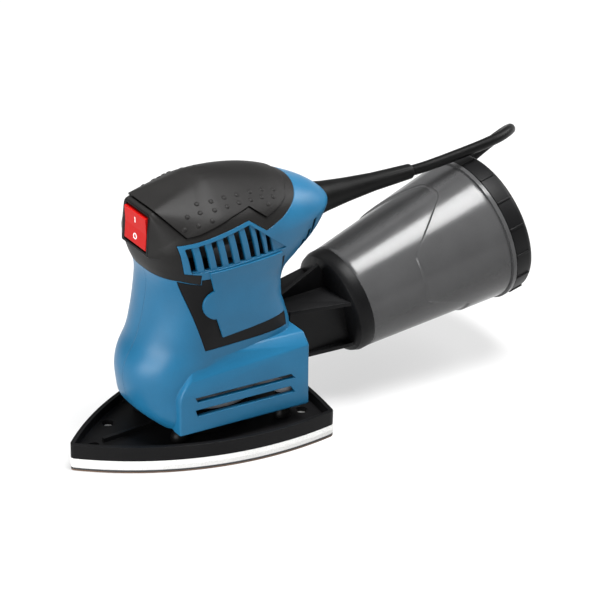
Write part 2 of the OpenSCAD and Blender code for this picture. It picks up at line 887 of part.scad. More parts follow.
module switch_rocker() {
    half = rocker_h / 2;
    color("#d21f1f")
        translate([rocker_pin_x, 0, rocker_z])
            rotate([0, rocker_lean - rocker_travel / 2, 0]) {
                rotate([90, 0, 0])
                    linear_extrude(rocker_w, center = true)
                        polygon([[-rocker_nose, half], [-rocker_dip, 0], [-rocker_nose, -half],
                            [-1, -half], [0, -half + 3], [0, half - 3], [-1, half]]);
                rotate([90, 0, 0])
                    cylinder(r = rocker_pin_r, h = rocker_w + 2 * move_gap + 2 * rocker_pin_seat - 0.4,
                        center = true, $fn = 32);
            }
}

module switch_module() {
    color("#26262a")
        difference() {
            translate([frame_front + frame_depth, -frame_hole_w / 2, rocker_z - module_h / 2])
                cube([module_len, frame_hole_w, module_h]);
            for (y = [-terminal_y, terminal_y])
                translate([frame_front + frame_depth + module_len - 4, y - 1.6, rocker_z - wire_r - 0.2])
                    cube([5, 3.2, 2 * wire_r + 0.4]);
        }
}

// Cord entry

module cord_relief() {
    reach = relief_end - relief_base;
    waist_r = mix(relief_tip_r, relief_r, 0.47);
    slim_r = mix(relief_tip_r, relief_r, 0.18);
    color(black)
        translate([0, 0, cord_z])
            along_x(0)
                rotate_extrude($fn = 64)
                    polygon([[cord_r + press_gap, relief_flange_x], [relief_flange_r, relief_flange_x],
                        [relief_flange_r, relief_flange_x + relief_flange_t],
                        [relief_r, relief_flange_x + relief_flange_t], [relief_r, relief_base],
                        [mix(waist_r, relief_r, 0.6), relief_base + 0.1 * reach],
                        [waist_r, relief_base + 0.32 * reach], [slim_r, relief_base + 0.6 * reach],
                        [relief_tip_r, relief_end - 1], [relief_tip_r - 0.6, relief_end],
                        [cord_r + press_gap, relief_end]]);
}

module cord_entry() {
    color(black)
        translate([0, 0, cord_z])
            along_x(cord_inner_end)
                cylinder(r = cord_r, h = relief_end - cord_inner_end, $fn = 32);
}

module cord_clamp() {
    color("#303236")
        difference() {
            translate([clamp_x, -clamp_half, cord_z - 1.6])
                cube([clamp_len, 2 * clamp_half, cord_r + 5]);
            translate([0, 0, cord_z])
                along_x(clamp_x - 1)
                    cylinder(r = cord_r + press_gap, h = clamp_len + 2, $fn = 32);
            translate([clamp_x - 1, -cord_r - press_gap, cord_z - 10])
                cube([clamp_len + 2, 2 * cord_r + 2 * press_gap, 10]);
            for (y = [-clamp_screw_y, clamp_screw_y])
                translate([clamp_x + clamp_len / 2, y, 0])
                    cylinder(r = clamp_screw_r + press_gap, h = far, $fn = 32);
        }
}

module clamp_screws() {
    color(steel)
        for (y = [-clamp_screw_y, clamp_screw_y])
            translate([clamp_x + clamp_len / 2, y, cord_z + cord_r + 3.4]) {
                translate([0, 0, -11])
                    cylinder(r = clamp_screw_r, h = 11, $fn = 32);
                difference() {
                    cylinder(r = 3, h = 2, $fn = 32);
                    translate([-3, -0.4, 1.2])
                        cube([6, 0.8, 1]);
                }
            }
}

module capacitor() {
    color("#c9a227")
        translate([10, -capacitor_size[1] / 2, bridge_top])
            cube(capacitor_size);
}

module wiring() {
    back = frame_front + frame_depth + module_len - 4;
    color("#3a3f46")
        for (side = [-1, 1]) {
            tube([[cord_inner_end - 1, side * 1.4, cord_z], [cord_inner_end - 8, side * 6, cord_z + 6],
                [cord_inner_end - 16, side * 11, cord_z + 16], [cord_inner_end - 34, side * 12.5, cord_z + 20],
                [back + 14, side * 9, rocker_z + 3.5], [back + 7, side * terminal_y, rocker_z],
                [back + 2, side * terminal_y, rocker_z]], wire_r, 6, [0.1, 0.2, 1]);
        }
}

// Motor

module motor_frame() {
    color("#4a4d52")
        difference() {
            union() {
                translate([0, 0, flange_z + 0.4])
                    cylinder(r = flange_r, h = flange_t - 0.4, $fn = 96);
                for (p = leg_places) {
                    translate([p[0], p[1], flange_z])
                        cylinder(r = leg_pad_r, h = flange_t - 0.4, $fn = 48);
                    rotate([0, 0, atan2(p[1], p[0])])
                        translate([lower_bearing_r + 3, -leg_pad_r + 1, flange_z + 0.8])
                            cube([norm(p) - lower_bearing_r - 3, 2 * leg_pad_r - 2, flange_t - 1.6]);
                }
                for (side = [-1, 1]) {
                    translate([side * (web_x + web_t / 2) - web_t / 2, -web_w / 2, flange_z + 1.2])
                        cube([web_t, web_w, bridge_top - flange_z - 1.8]);
                    translate([side > 0 ? stator_r + 0.15 : -web_x - 0.5, -7, stator_z + 6])
                        cube([web_x + 0.5 - stator_r - 0.15, 14, stator_len - 12]);
                    translate([-holder_w / 2, side > 0 ? holder_y + 1.5 : -holder_y - 9.5, brush_z + holder_h / 2])
                        cube([holder_w, 8, bridge_z - brush_z - holder_h / 2 + 1]);
                    translate([-6, side > 0 ? 8 : -holder_y - 9.5, bridge_z + 0.6])
                        cube([12, holder_y + 1.5, bridge_top - bridge_z - 1.4]);
                }
                translate([-web_x - 0.5, -web_w / 2 + 0.5, bridge_z])
                    cube([2 * web_x + 1, web_w - 1, bridge_top - bridge_z - 0.4]);
                translate([0, 0, bridge_z + 0.3])
                    cylinder(r = upper_bearing_r + 4.5, h = bridge_top - bridge_z - 0.3, $fn = 64);
            }
            translate([0, 0, flange_z - 1])
                cylinder(r = lower_bearing_r + press_gap, h = bearing_w + 1.7, $fn = 64);
            translate([0, 0, flange_z])
                cylinder(r = shaft_r + 2.5, h = far, $fn = 64);
            translate([0, 0, bridge_z - 1])
                cylinder(r = upper_bearing_r + 1.5 + press_gap, h = upper_bearing_w + 2, $fn = 64);
            at_each(leg_places)
                translate([0, 0, flange_z - 1])
                    cylinder(r = leg_screw_r + press_gap, h = flange_t + 2, $fn = 32);
        }
}

module pole_window(grow) {
    for (a = [0, 180])
        rotate([0, 0, a - 52])
            rotate_extrude(angle = 104, $fn = 96)
                translate([armature_r + air_gap + 1.2 - grow, -far / 2])
                    square([5.8 + 2 * grow, far]);
}

module stator_core() {
    color("#7d8287")
        translate([0, 0, stator_z])
            difference() {
                ring(stator_r, armature_r + air_gap, stator_len);
                pole_window(0.2);
            }
}

module field_coils() {
    color(copper)
        intersection() {
            pole_window(0);
            translate([-far / 2, -far / 2, stator_z - winding_over])
                cube([far, far, stator_len + 2 * winding_over]);
        }
}

module brush_holders() {
    color("#b89440")
        for (side = [-1, 1])
            translate([0, side * holder_y, brush_z])
                rotate([-90 * side, 0, 0])
                    difference() {
                        translate([-holder_w / 2, -holder_h / 2, 0])
                            cube([holder_w, holder_h, holder_len]);
                        translate([-brush_w / 2 - brush_gap, -brush_h / 2 - brush_gap, -1])
                            cube([brush_w + 2 * brush_gap, brush_h + 2 * brush_gap, holder_len]);
                    }
}

module brush(side) {
    color("#2b2b2b")
        translate([-brush_w / 2, side > 0 ? brush_y : -brush_y - brush_len, brush_z - brush_h / 2])
            cube([brush_w, brush_len, brush_h]);
}

module brush_left() {
    brush(-1);
}

module brush_right() {
    brush(1);
}

module brush_spring(side) {
    base = brush_y + brush_len + spring_wire / 2 + move_gap;
    top = holder_y + holder_len - 1 - spring_wire / 2 - still_gap;
    steps = 8;
    color(steel)
        tube([for (k = [0 : spring_turns * steps])
            [spring_r * cos(360 * k / steps), side * mix(base, top, k / (spring_turns * steps)),
                brush_z + spring_r * sin(360 * k / steps)]], spring_wire / 2, 6, [0, 1, 0]);
}

module brush_spring_left() {
    brush_spring(-1);
}

module brush_spring_right() {
    brush_spring(1);
}

module upper_bearing() {
    color(steel)
        translate([0, 0, upper_bearing_z])
            bearing_outer(upper_bearing_r, shaft_top_r, upper_bearing_w);
}

module bearing_sleeve() {
    color("#333336")
        translate([0, 0, upper_bearing_z])
            ring(upper_bearing_r + 1.5, upper_bearing_r + press_gap, upper_bearing_w);
}

module lower_bearing() {
    color(steel)
        translate([0, 0, lower_bearing_z])
            bearing_outer(lower_bearing_r, shaft_r, bearing_w);
}

module fan_shroud() {
    color("#3c3f44")
        translate([0, 0, shroud_z]) {
            ring(web_x - still_gap, stator_r - 6, shroud_t);
            ring(stator_r - 4.5, stator_r - 6, shroud_t + 0.6);
        }
}

// Rotor

module motor_shaft() {
    color(steel)
        difference() {
            union() {
                translate([0, 0, shaft_base])
                    cylinder(r = shaft_r, h = bridge_z - 0.6 - shaft_base, $fn = 48);
                translate([0, 0, bridge_z - 1])
                    cylinder(r = shaft_top_r, h = shaft_top - bridge_z + 1, $fn = 48);
                translate([orbit_r, 0, pin_base])
                    cylinder(r = pin_r, h = shaft_base - pin_base + 0.3, $fn = 48);
            }
            translate([orbit_r, 0, pin_base - 1])
                cylinder(r = 2.5 + press_gap, h = 9, $fn = 32);
        }
}

module shaft_bearing_rings() {
    color(steel) {
        translate([0, 0, upper_bearing_z])
            bearing_inner(upper_bearing_r, shaft_top_r, upper_bearing_w);
        translate([0, 0, lower_bearing_z])
            bearing_inner(lower_bearing_r, shaft_r, bearing_w);
    }
}

module armature_core() {
    slots = 12;
    color("#8b9096")
        translate([0, 0, armature_z])
            difference() {
                ring(armature_r, shaft_r + press_gap, armature_len);
                for (k = [0 : slots - 1])
                    rotate([0, 0, 360 * k / slots])
                        translate([armature_r - 4.5, -0.9, -1])
                            cube([6, 1.8, armature_len + 2]);
            }
}

module armature_windings() {
    color(copper)
        for (z = [armature_z - winding_over, armature_z + armature_len])
            translate([0, 0, z])
                rotate_extrude($fn = 64)
                    polygon([[shaft_r + 0.6, 0], [armature_r - 1.6, 0], [armature_r - 0.8, 1],
                        [armature_r - 0.8, winding_over - 1], [armature_r - 1.6, winding_over],
                        [shaft_r + 0.6, winding_over]]);
}

module commutator() {
    bars = 12;
    color("#c27a3a")
        translate([0, 0, commutator_z])
            difference() {
                ring(commutator_r, shaft_r + press_gap, commutator_len);
                for (k = [0 : bars - 1])
                    rotate([0, 0, 360 * k / bars])
                        translate([commutator_r - 0.8, -0.25, -1])
                            cube([2, 0.5, commutator_len + 2]);
            }
}

module fan() {
    color("#55585e")
        translate([0, 0, fan_z])
            difference() {
                union() {
                    cylinder(r = fan_r, h = 1.8, $fn = 96);
                    cylinder(r = shaft_r + 3.5, h = fan_h, $fn = 48);
                    for (k = [0 : fan_blades - 1])
                        rotate([0, 0, 360 * k / fan_blades])
                            translate([shaft_r + 2, -0.8, 0.6])
                                rotate([0, 0, 8])
                                    cube([fan_r - shaft_r - 4.5, 1.6, fan_h - 1.2]);
                }
                translate([0, 0, -1])
                    cylinder(r = shaft_r + press_gap, h = fan_h + 2, $fn = 48);
            }
}

module counterweight() {
    color("#8f8f8a")
        translate([0, 0, weight_z])
            difference() {
                union() {
                    cylinder(r = shaft_r + 4, h = weight_t, $fn = 48);
                    intersection() {
                        translate([0, 0, 0.2])
                            cylinder(r = weight_r, h = weight_t - 0.4, $fn = 96);
                        linear_extrude(weight_t)
                            polygon([[-0.5, 0], [-far * tan(15), far], [-far, far], [-far, -far],
                                [-far * tan(15), -far]]);
                    }
                }
                translate([0, 0, -1])
                    cylinder(r = shaft_r + press_gap, h = weight_t + 2, $fn = 48);
            }
}

// Plate and its layers

module plate_bearing() {
    color(steel)
        translate([orbit_r, 0, floor_z])
            bearing_outer(plate_bearing_r, pin_r, bearing_w);
}

module pin_bearing_ring() {
    color(steel)
        translate([orbit_r, 0, floor_z])
            bearing_inner(plate_bearing_r, pin_r, bearing_w);
}

module pin_screw() {
    color(steel)
        translate([orbit_r, 0, 0]) {
            translate([0, 0, floor_z - 1.2])
                cylinder(r = pin_r + 1.5, h = 1.2, $fn = 48);
            translate([0, 0, floor_z - 1.2])
                cylinder(r = 2.5, h = 8, $fn = 32);
            translate([0, 0, floor_z - 2.8])
                cylinder(r = 4.4, h = 1.7, $fn = 6);
        }
}

module base_plate() {
    hub_r = plate_bearing_r + 3.5;
    rib_t = 2;
    color(black)
        difference() {
            union() {
                difference() {
                    translate([0, 0, plate_z])
                        linear_extrude(plate_floor_t + rim_rise)
                            plate_outline();
                    translate([0, 0, floor_z])
                        linear_extrude(far)
                            offset(delta = -rim_t)
                                plate_outline();
                    for (p = dust_holes)
                        translate([p[0], p[1], 0])
                            cylinder(r = dust_hole_r, h = far, $fn = 32);
                }
                translate([orbit_r, 0, plate_z])
                    cylinder(r = hub_r, h = plate_floor_t + hub_rise, $fn = 64);
                translate([-plate_tip + 22, -rib_t / 2, floor_z - 0.5])
                    cube([plate_tip - 22 - seal_r - 4, rib_t, 3.5]);
                for (side = [-1, 1])
                    translate([seal_r + 4, side * 12 - rib_t / 2, floor_z - 0.5])
                        cube([plate_rear - seal_r - 9, rib_t, 3.5]);
            }
            translate([orbit_r, 0, floor_z])
                cylinder(r = plate_bearing_r + press_gap, h = far, $fn = 64);
            translate([orbit_r, 0, 0])
                cylinder(r = pin_r + 3, h = far, $fn = 64);
        }
}

module foam_pad() {
    color("#f0f0ec")
        plate_layer(sheet_t + hook_t, foam_t);
}

module hook_layer() {
    color("#dcdcd6")
        plate_layer(sheet_t, hook_t);
}

module sanding_sheet() {
    color("#4b3a2e")
        plate_layer(0, sheet_t);
}

module legs() {
    foot = floor_z + bearing_gap;
    color("#3b3b3d")
        at_each(leg_places)
            difference() {
                rotate_extrude($fn = 48)
                    polygon([[0, foot], [leg_r, foot], [leg_r, foot + 2.5], [leg_waist_r, foot + 5],
                        [leg_waist_r, flange_z - 4], [leg_r, flange_z - 2], [leg_r, flange_z], [0, flange_z]]);
                translate([0, 0, flange_z - leg_screw_reach - 1])
                    cylinder(r = leg_screw_r + press_gap, h = far, $fn = 32);
            }
}

module leg_screws() {
    color(steel)
        at_each(leg_places) {
            translate([0, 0, flange_z - leg_screw_reach])
                cylinder(r = leg_screw_r, h = flange_t + leg_screw_reach, $fn = 32);
            translate([0, 0, flange_top])
                cylinder(r = leg_head_r, h = leg_head_h, $fn = 32);
        }
}

module dust_seal() {
    color("#2f2f31")
        translate([0, 0, floor_z + move_gap])
            ring(seal_r + 1.5, seal_r, flange_z - floor_z - move_gap);
}

// Dust outlet and dust box

module dust_duct() {
    color("#2c2e31")
        translate([duct_front, 0, outlet_z])
            difference() {
                translate([0, -outlet_w / 2 - outlet_t, -outlet_h / 2 - outlet_t])
                    cube([duct_rear - duct_front, outlet_w + 2 * outlet_t, outlet_h + 2 * outlet_t]);
                translate([-1, -outlet_w / 2, -outlet_h / 2])
                    cube([far, outlet_w, outlet_h]);
            }
}

module web_plate(z, reach) {
    translate([0, 0, z - web_plate_t / 2])
        linear_extrude(web_plate_t)
            polygon([[neck_x, -neck_half_w], [box_x - collar_len, -reach], [box_x - 4, -reach],
                [box_x - 4, reach], [box_x - collar_len, reach], [neck_x, neck_half_w]]);
}

module box_adapter() {
    spigot_w = outlet_w - 2 * bearing_gap;
    spigot_h = outlet_h - 2 * bearing_gap;
    bore_w = spigot_w - 2 * spigot_t;
    bore_h = spigot_h - 2 * spigot_t;
    collar_x = box_x - collar_len;
    color("#232326") {
        difference() {
            union() {
                translate([spigot_front, -spigot_w / 2, outlet_z - spigot_h / 2])
                    cube([neck_x - spigot_front + 1, spigot_w, spigot_h]);
                translate([neck_x, -neck_half_w, outlet_z - neck_half_h])
                    cube([box_x - neck_x, 2 * neck_half_w, 2 * neck_half_h]);
                box_frame()
                    translate([0, 0, -collar_len])
                        rotate_extrude($fn = 96)
                            polygon([[0, 0], [canister_front_r - 5, 0], [canister_front_r - 1.4, 1.6],
                                [canister_front_r, 5], [canister_front_r, collar_len], [0, collar_len]]);
                web_plate(outlet_z + neck_half_h - web_plate_t / 2, canister_front_r - 6);
                web_plate(outlet_z - neck_half_h + web_plate_t / 2, canister_front_r - 11);
                rotate([90, 0, 0])
                    linear_extrude(web_plate_t, center = true)
                        polygon([[neck_x, outlet_z], [neck_x, outlet_z + neck_half_h + 0.6],
                            [collar_x - 8, box_z + canister_front_r - 5], [collar_x + 4, box_z]]);
            }
            translate([spigot_front - 1, -bore_w / 2, outlet_z - bore_h / 2])
                cube([box_x - spigot_front, bore_w, bore_h]);
            box_frame()
                translate([0, 0, -collar_len + collar_wall])
                    cylinder(r = canister_inner_r(0) - 2.2, h = far, $fn = 96);
            box_frame()
                cylinder(r = far, h = far, $fn = 96);
        }
        box_frame()
            translate([0, 0, -1])
                ring(canister_inner_r(0) - still_gap, canister_inner_r(0) - 2.2, collar_lip + 1);
    }
}

module dust_canister() {
    color([0.3, 0.3, 0.32, 0.6])
        box_frame()
            rotate_extrude($fn = 128)
                polygon([[canister_inner_r(0), 0], [canister_outer_r(0), 0],
                    [canister_outer_r(canister_len - 3), canister_len - 3], [canister_rear_r + 1, canister_len - 2.4],
                    [canister_rear_r + 1, canister_len], [canister_inner_r(canister_len), canister_len]]);
}

module box_lid() {
    s0 = canister_len + lid_gap;
    s1 = s0 + lid_len;
    sleeve = lid_sleeve_r;
    groove = 2 * seal_wire_r + 0.3;
    color("#1b1b1d")
        box_frame()
            union() {
                rotate_extrude($fn = 128)
                    polygon([[sleeve - 2, canister_len - lid_sleeve_len], [sleeve, canister_len - lid_sleeve_len],
                        [sleeve, seal_s - groove / 2], [sleeve - 1.2, seal_s - groove / 2],
                        [sleeve - 1.2, seal_s + groove / 2], [sleeve, seal_s + groove / 2],
                        [sleeve, s0], [lid_r, s0], [lid_r, s1 - 4], [lid_r - 1.2, s1 - 1.2], [lid_r - 4, s1],
                        [0, s1], [0, s1 - lid_wall], [sleeve - 2, s1 - lid_wall]]);
                for (k = [0 : lid_ribs - 1])
                    rotate([0, 0, 360 * k / lid_ribs])
                        translate([lid_r - 1, -0.8, s0])
                            cube([1.8, 1.6, lid_len - 3.5]);
            }
}

module lid_seal() {
    color("#3a3a3a")
        box_frame()
            translate([0, 0, seal_s])
                rotate_extrude($fn = 96)
                    translate([lid_sleeve_r - 1.2 + seal_wire_r + 0.05, 0])
                        circle(r = seal_wire_r, $fn = 24);
}

module filter_frame() {
    color("#3d4046")
        box_frame() {
            translate([0, 0, filter_end])
                ring(lid_sleeve_r, filter_r - filter_fold - 2, filter_ring_t);
            translate([0, 0, filter_front - filter_ring_t])
                cylinder(r = filter_r + 1, h = filter_ring_t, $fn = 64);
            for (k = [0 : 3])
                rotate([0, 0, 90 * k])
                    translate([filter_r - filter_fold - 5, -1.5, filter_front - 1])
                        cube([2.4, 3, filter_end - filter_front + 2]);
        }
}

module filter_pleats() {
    function fold_ring(outer, inner) = [for (k = [0 : 2 * filter_folds - 1])
        (k % 2 == 0 ? outer : inner) * [cos(180 * k / filter_folds), sin(180 * k / filter_folds)]];
    color("#d9d4c4")
        box_frame()
            translate([0, 0, filter_front])
                linear_extrude(filter_end - filter_front)
                    difference() {
                        polygon(fold_ring(filter_r, filter_r - filter_fold));
                        polygon(fold_ring(filter_r - 2 * filter_paper, filter_r - filter_fold - filter_paper));
                    }
}

// Cord and plug

module cord_lead() {
    color(black)
        tube(lead_path, cord_r, tube_sides, [0.6, -0.7, -0.4]);
}

module cord_coil() {
    color(black)
        tube(coil_tube_path, cord_r, coil_sides, [0, 0, 1]);
}

module cord_tie() {
    inner = coil_radius(coil_half) - cord_r - bearing_gap;
    outer = coil_outer + cord_r + bearing_gap;
    top = coil_low + coil_pitch + cord_r + bearing_gap;
    base = coil_low - cord_r - bearing_gap;
    color("#3b3b3b")
        translate([coil_centre[0], coil_centre[1], 0])
            rotate([0, 0, tie_turn])
                difference() {
                    translate([inner - tie_t, -tie_w / 2, base - tie_t + 0.2])
                        cube([outer - inner + 2 * tie_t, tie_w, top - base + 2 * tie_t - 0.2]);
                    translate([inner, -tie_w, base])
                        cube([outer - inner, 2 * tie_w, top - base]);
                }
}

module plug_frame() {
    translate(plug_place)
        rotate([0, 0, plug_turn])
            children();
}

module plug_body() {
    color(black)
        plug_frame() {
            along_x(0)
                cylinder(r1 = cord_r + 0.6, r2 = plug_half_t - 0.8, h = plug_relief_len, $fn = 48);
            hull() {
                along_x(plug_relief_len - 1)
                    cylinder(r = plug_half_t - 0.8, h = 2, $fn = 32);
                for (y = [-plug_half_w + plug_half_t, plug_half_w - plug_half_t])
                    translate([0, y, 0])
                        along_x(plug_relief_len + 16)
                            cylinder(r = plug_half_t, h = plug_body_len - 16, $fn = 32);
            }
        }
}

module plug_pins() {
    color("#c8a050")
        plug_frame()
            for (y = [-plug_pin_y, plug_pin_y])
                translate([0, y, 0])
                    along_x(plug_relief_len + plug_body_len) {
                        cylinder(r = plug_pin_r, h = plug_pin_len - 1.2, $fn = 48);
                        translate([0, 0, plug_pin_len - 1.2])
                            cylinder(r1 = plug_pin_r, r2 = plug_pin_r - 1, h = 1.2, $fn = 48);
                    }
}

housing_left();
housing_right();
grip_shell();
grip_pad();
side_inlay_left();
side_inlay_right();
label_plate_left();
label_plate_right();
housing_screws();
switch_frame();
switch_rocker();
switch_module();
cord_relief();
cord_entry();
cord_clamp();
clamp_screws();
capacitor();
wiring();
motor_frame();
stator_core();
field_coils();
brush_holders();
brush_left();
brush_right();
brush_spring_left();
brush_spring_right();
upper_bearing();
lower_bearing();
bearing_sleeve();
fan_shroud();
motor_shaft();
shaft_bearing_rings();
armature_core();
armature_windings();
commutator();
fan();
counterweight();
plate_bearing();
pin_bearing_ring();
pin_screw();
base_plate();
foam_pad();
hook_layer();
sanding_sheet();
legs();
leg_screws();
dust_seal();
dust_duct();
box_adapter();
dust_canister();
box_lid();
lid_seal();
filter_frame();
filter_pleats();
cord_lead();
cord_coil();
cord_tie();
plug_body();
plug_pins();
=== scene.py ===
# %% [markdown]
# # A small detail sander, dressed for a studio picture
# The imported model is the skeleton: every body, joint and size comes from it. This lesson puts finer skins
# on the parts that show, paints the parts inside, and lights the whole on a pale floor.

import json
import math

import bmesh
import bpy
from mathutils import Matrix, Vector
from mathutils.bvhtree import BVHTree

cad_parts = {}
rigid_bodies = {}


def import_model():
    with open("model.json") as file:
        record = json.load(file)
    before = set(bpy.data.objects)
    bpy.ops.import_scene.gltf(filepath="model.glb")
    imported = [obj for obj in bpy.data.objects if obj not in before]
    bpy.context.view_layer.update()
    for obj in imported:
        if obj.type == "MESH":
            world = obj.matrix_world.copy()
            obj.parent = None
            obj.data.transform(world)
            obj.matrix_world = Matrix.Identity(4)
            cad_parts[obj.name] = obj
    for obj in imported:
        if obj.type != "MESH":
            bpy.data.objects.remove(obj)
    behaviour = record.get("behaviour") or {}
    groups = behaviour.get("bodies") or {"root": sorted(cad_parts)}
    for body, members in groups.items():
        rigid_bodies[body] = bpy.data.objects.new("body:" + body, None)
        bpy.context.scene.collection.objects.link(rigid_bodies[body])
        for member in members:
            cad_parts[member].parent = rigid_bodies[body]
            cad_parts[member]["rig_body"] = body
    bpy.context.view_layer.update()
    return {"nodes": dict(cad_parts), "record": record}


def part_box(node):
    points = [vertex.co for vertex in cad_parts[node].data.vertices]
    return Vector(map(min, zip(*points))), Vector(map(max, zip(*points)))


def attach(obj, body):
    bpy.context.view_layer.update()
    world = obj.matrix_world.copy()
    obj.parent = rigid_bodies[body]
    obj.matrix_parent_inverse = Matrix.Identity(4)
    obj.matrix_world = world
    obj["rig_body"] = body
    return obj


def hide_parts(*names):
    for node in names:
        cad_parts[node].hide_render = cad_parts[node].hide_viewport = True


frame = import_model()
nodes = frame["nodes"]
MM = 0.001

# %% [markdown]
# ## Camera
# A product picture is taken with a long lens from well back, so that the near edges don't swell. The camera
# is placed by its direction first. Then it is turned by a few picture points, so that the sander sits off
# the middle of the frame.

# %% Camera
LENS, SENSOR, PICTURE = 158.4, 36, 600
POINTS_RIGHT, POINTS_UP = 98.5, 20.7
AIM_HEIGHT, DISTANCE = 0.07, 1.5
turn, rise = math.radians(-32.5), math.radians(28.8)
back = Vector((math.sin(turn) * math.cos(rise), -math.cos(turn) * math.cos(rise), math.sin(rise)))
right = Vector((math.cos(turn), math.sin(turn), 0))
up = back.cross(right)
focus = PICTURE * LENS / SENSOR
axis_z = (back * focus - right * POINTS_RIGHT - up * POINTS_UP).normalized()
axis_x = (right - axis_z * right.dot(axis_z)).normalized()
axis_y = axis_z.cross(axis_x)
camera = bpy.data.objects.new("camera", bpy.data.cameras.new("camera"))
camera.data.lens = LENS
camera.data.sensor_width = SENSOR
camera.data.clip_end = 50
facing = Matrix((axis_x, axis_y, axis_z)).transposed().to_4x4()
camera.matrix_world = Matrix.Translation(Vector((0, 0, AIM_HEIGHT)) + back * DISTANCE) @ facing
bpy.context.scene.collection.objects.link(camera)
bpy.context.scene.camera = camera
print("camera at", [round(v, 3) for v in camera.location])

# %% [markdown]
# ## Painting with arithmetic
# Node trees are hard to read as lists of links. This class holds one socket and lets plain arithmetic make
# the Math nodes, so a material reads like a formula. Its `node` method makes any other kind of node.


# %% Sockets that add and multiply
class Field:
    def __init__(self, tree, socket):
        self.tree = tree
        self.socket = socket

    def node(self, kind, settings, values, out=0):
        made = self.tree.nodes.new("ShaderNode" + kind)
        for key, value in settings.items():
            setattr(made, key, value)
        for key, value in values.items():
            if isinstance(value, Field):
                self.tree.links.new(value.socket, made.inputs[key])
            else:
                made.inputs[key].default_value = value
        return Field(self.tree, made.outputs[out])

    def math(self, operation, *others):
        return self.node("Math", {"operation": operation}, dict(enumerate((self, *others))))

    def __add__(self, other):
        return self.math("ADD", other)

    def __sub__(self, other):
        return self.math("SUBTRACT", other)

    def __mul__(self, other):
        return self.math("MULTIPLY", other)

    def __truediv__(self, other):
        return self.math("DIVIDE", other)

    def __pow__(self, other):
        return self.math("POWER", other)

    def __rsub__(self, other):
        return self * -1.0 + other

    def __rtruediv__(self, other):
        return self**-1.0 * other

    __radd__ = __add__
    __rmul__ = __mul__

    def noise(self, scale, detail=2.0):
        return self.node("TexNoise", {}, {"Vector": self, "Scale": scale, "Detail": detail})

    def ramp(self, low, high):
        return self.node("MapRange", {"clamp": True}, {"Value": self, "From Min": low, "From Max": high})

    def mix(self, first, second):
        colours = {0: self, 6: first, 7: second}
        return self.node("Mix", {"data_type": "RGBA"}, colours, 2)

    def bump(self, distance, strength=1.0, round_edges=0.0):
        values = {"Height": self, "Distance": distance, "Strength": strength}
        if round_edges:
            values["Normal"] = self.node("Bevel", {"samples": 6}, {"Radius": round_edges})
        return self.node("Bump", {}, values)


# %% [markdown]
# A material starts from the object's own coordinates, so that the grain moves with the part. A paint
# function gets that field and hands back a value or another field for each input of the shader.


# %% A material from a paint function
def material(name, paint):
    made = bpy.data.materials.new(name)
    made.use_nodes = True
    shader = made.node_tree.nodes["Principled BSDF"]
    where = made.node_tree.nodes.new("ShaderNodeTexCoord")
    for key, value in paint(Field(made.node_tree, where.outputs["Object"])).items():
        if isinstance(value, Field):
            made.node_tree.links.new(value.socket, shader.inputs[key])
        else:
            shader.inputs[key].default_value = value
    return made


# %% [markdown]
# ## Moulded plastics
# Moulded plastic has two scales of grain: a fine spark-eroded texture from the tool, and slow clouds where
# the melt cooled at different speeds. Both are noise, used for the colour, the roughness and a shallow
# bump.


# %% Plastics and rubbers
def moulded(dark, light, grain, depth, rough, edge=0.0004, **extra):
    def paint(p):
        clouds = p.noise(45.0, 3.0)
        fine = p.noise(grain, 2.0)
        return {
            "Base Color": (clouds * 0.6 + fine * 0.4).ramp(0.3, 0.7).mix((*dark, 1), (*light, 1)),
            "Roughness": (fine - 0.5) * 0.16 + (clouds - 0.5) * 0.1 + rough,
            "Normal": fine.bump(depth, 0.6, edge),
            **extra,
        }

    return paint


SATIN = {"Specular IOR Level": 0.25}
DULL = {"Specular IOR Level": 0.1}
GLOSS = {"Specular IOR Level": 0.27, "Alpha": 0.9}
BLUE_DARK, BLUE_LIGHT = (0.0058, 0.078, 0.160), (0.0085, 0.100, 0.200)
PAINT = {
    "blue_plastic": moulded(BLUE_DARK, BLUE_LIGHT, 1900, 3e-5, 0.36, 0.0006, **SATIN),
    "grip_rubber": moulded((0.0070, 0.0067, 0.0065), (0.0125, 0.0120, 0.0117), 1500, 6e-5, 0.46, **DULL),
    "black_plastic": moulded((0.003, 0.003, 0.0033), (0.0055, 0.0055, 0.0058), 1800, 3e-5, 0.42, **DULL),
    "black_rubber": moulded((0.002, 0.002, 0.002), (0.0038, 0.0038, 0.0038), 1200, 4e-5, 0.40, **DULL),
    "red_plastic": moulded((0.31, 0.003, 0.002), (0.38, 0.004, 0.003), 1600, 1e-5, 0.36, **DULL),
    "grey_plastic": moulded((0.17, 0.17, 0.18), (0.23, 0.23, 0.24), 1500, 3e-5, 0.45),
    "capacitor_film": moulded((0.42, 0.33, 0.05), (0.52, 0.42, 0.08), 700, 2e-5, 0.35),
    "wire_sheath": moulded((0.05, 0.06, 0.09), (0.08, 0.09, 0.12), 1500, 2e-5, 0.40),
    "smoke_plastic": moulded((0.045, 0.045, 0.046), (0.058, 0.058, 0.059), 2200, 5e-7, 0.2, 0.0, **GLOSS),
}
print(len(PAINT), "moulded finishes")

# %% [markdown]
# ## Metals
# A turned metal part shows fine rings and a rolled one shows streaks, so the coordinates are stretched
# before the noise is read.


# %% Metals
def metal(dark, light, rough, stretch):
    def paint(p):
        drawn = p.node("Mapping", {}, {"Vector": p, "Scale": stretch})
        streak = drawn.noise(600.0, 3.0)
        return {
            "Base Color": (streak * 0.7 + p.noise(60.0) * 0.3).ramp(0.3, 0.7).mix((*dark, 1), (*light, 1)),
            "Roughness": (streak - 0.5) * 0.25 + rough,
            "Metallic": 1.0,
            "Normal": streak.bump(1e-5, 0.5),
        }

    return paint


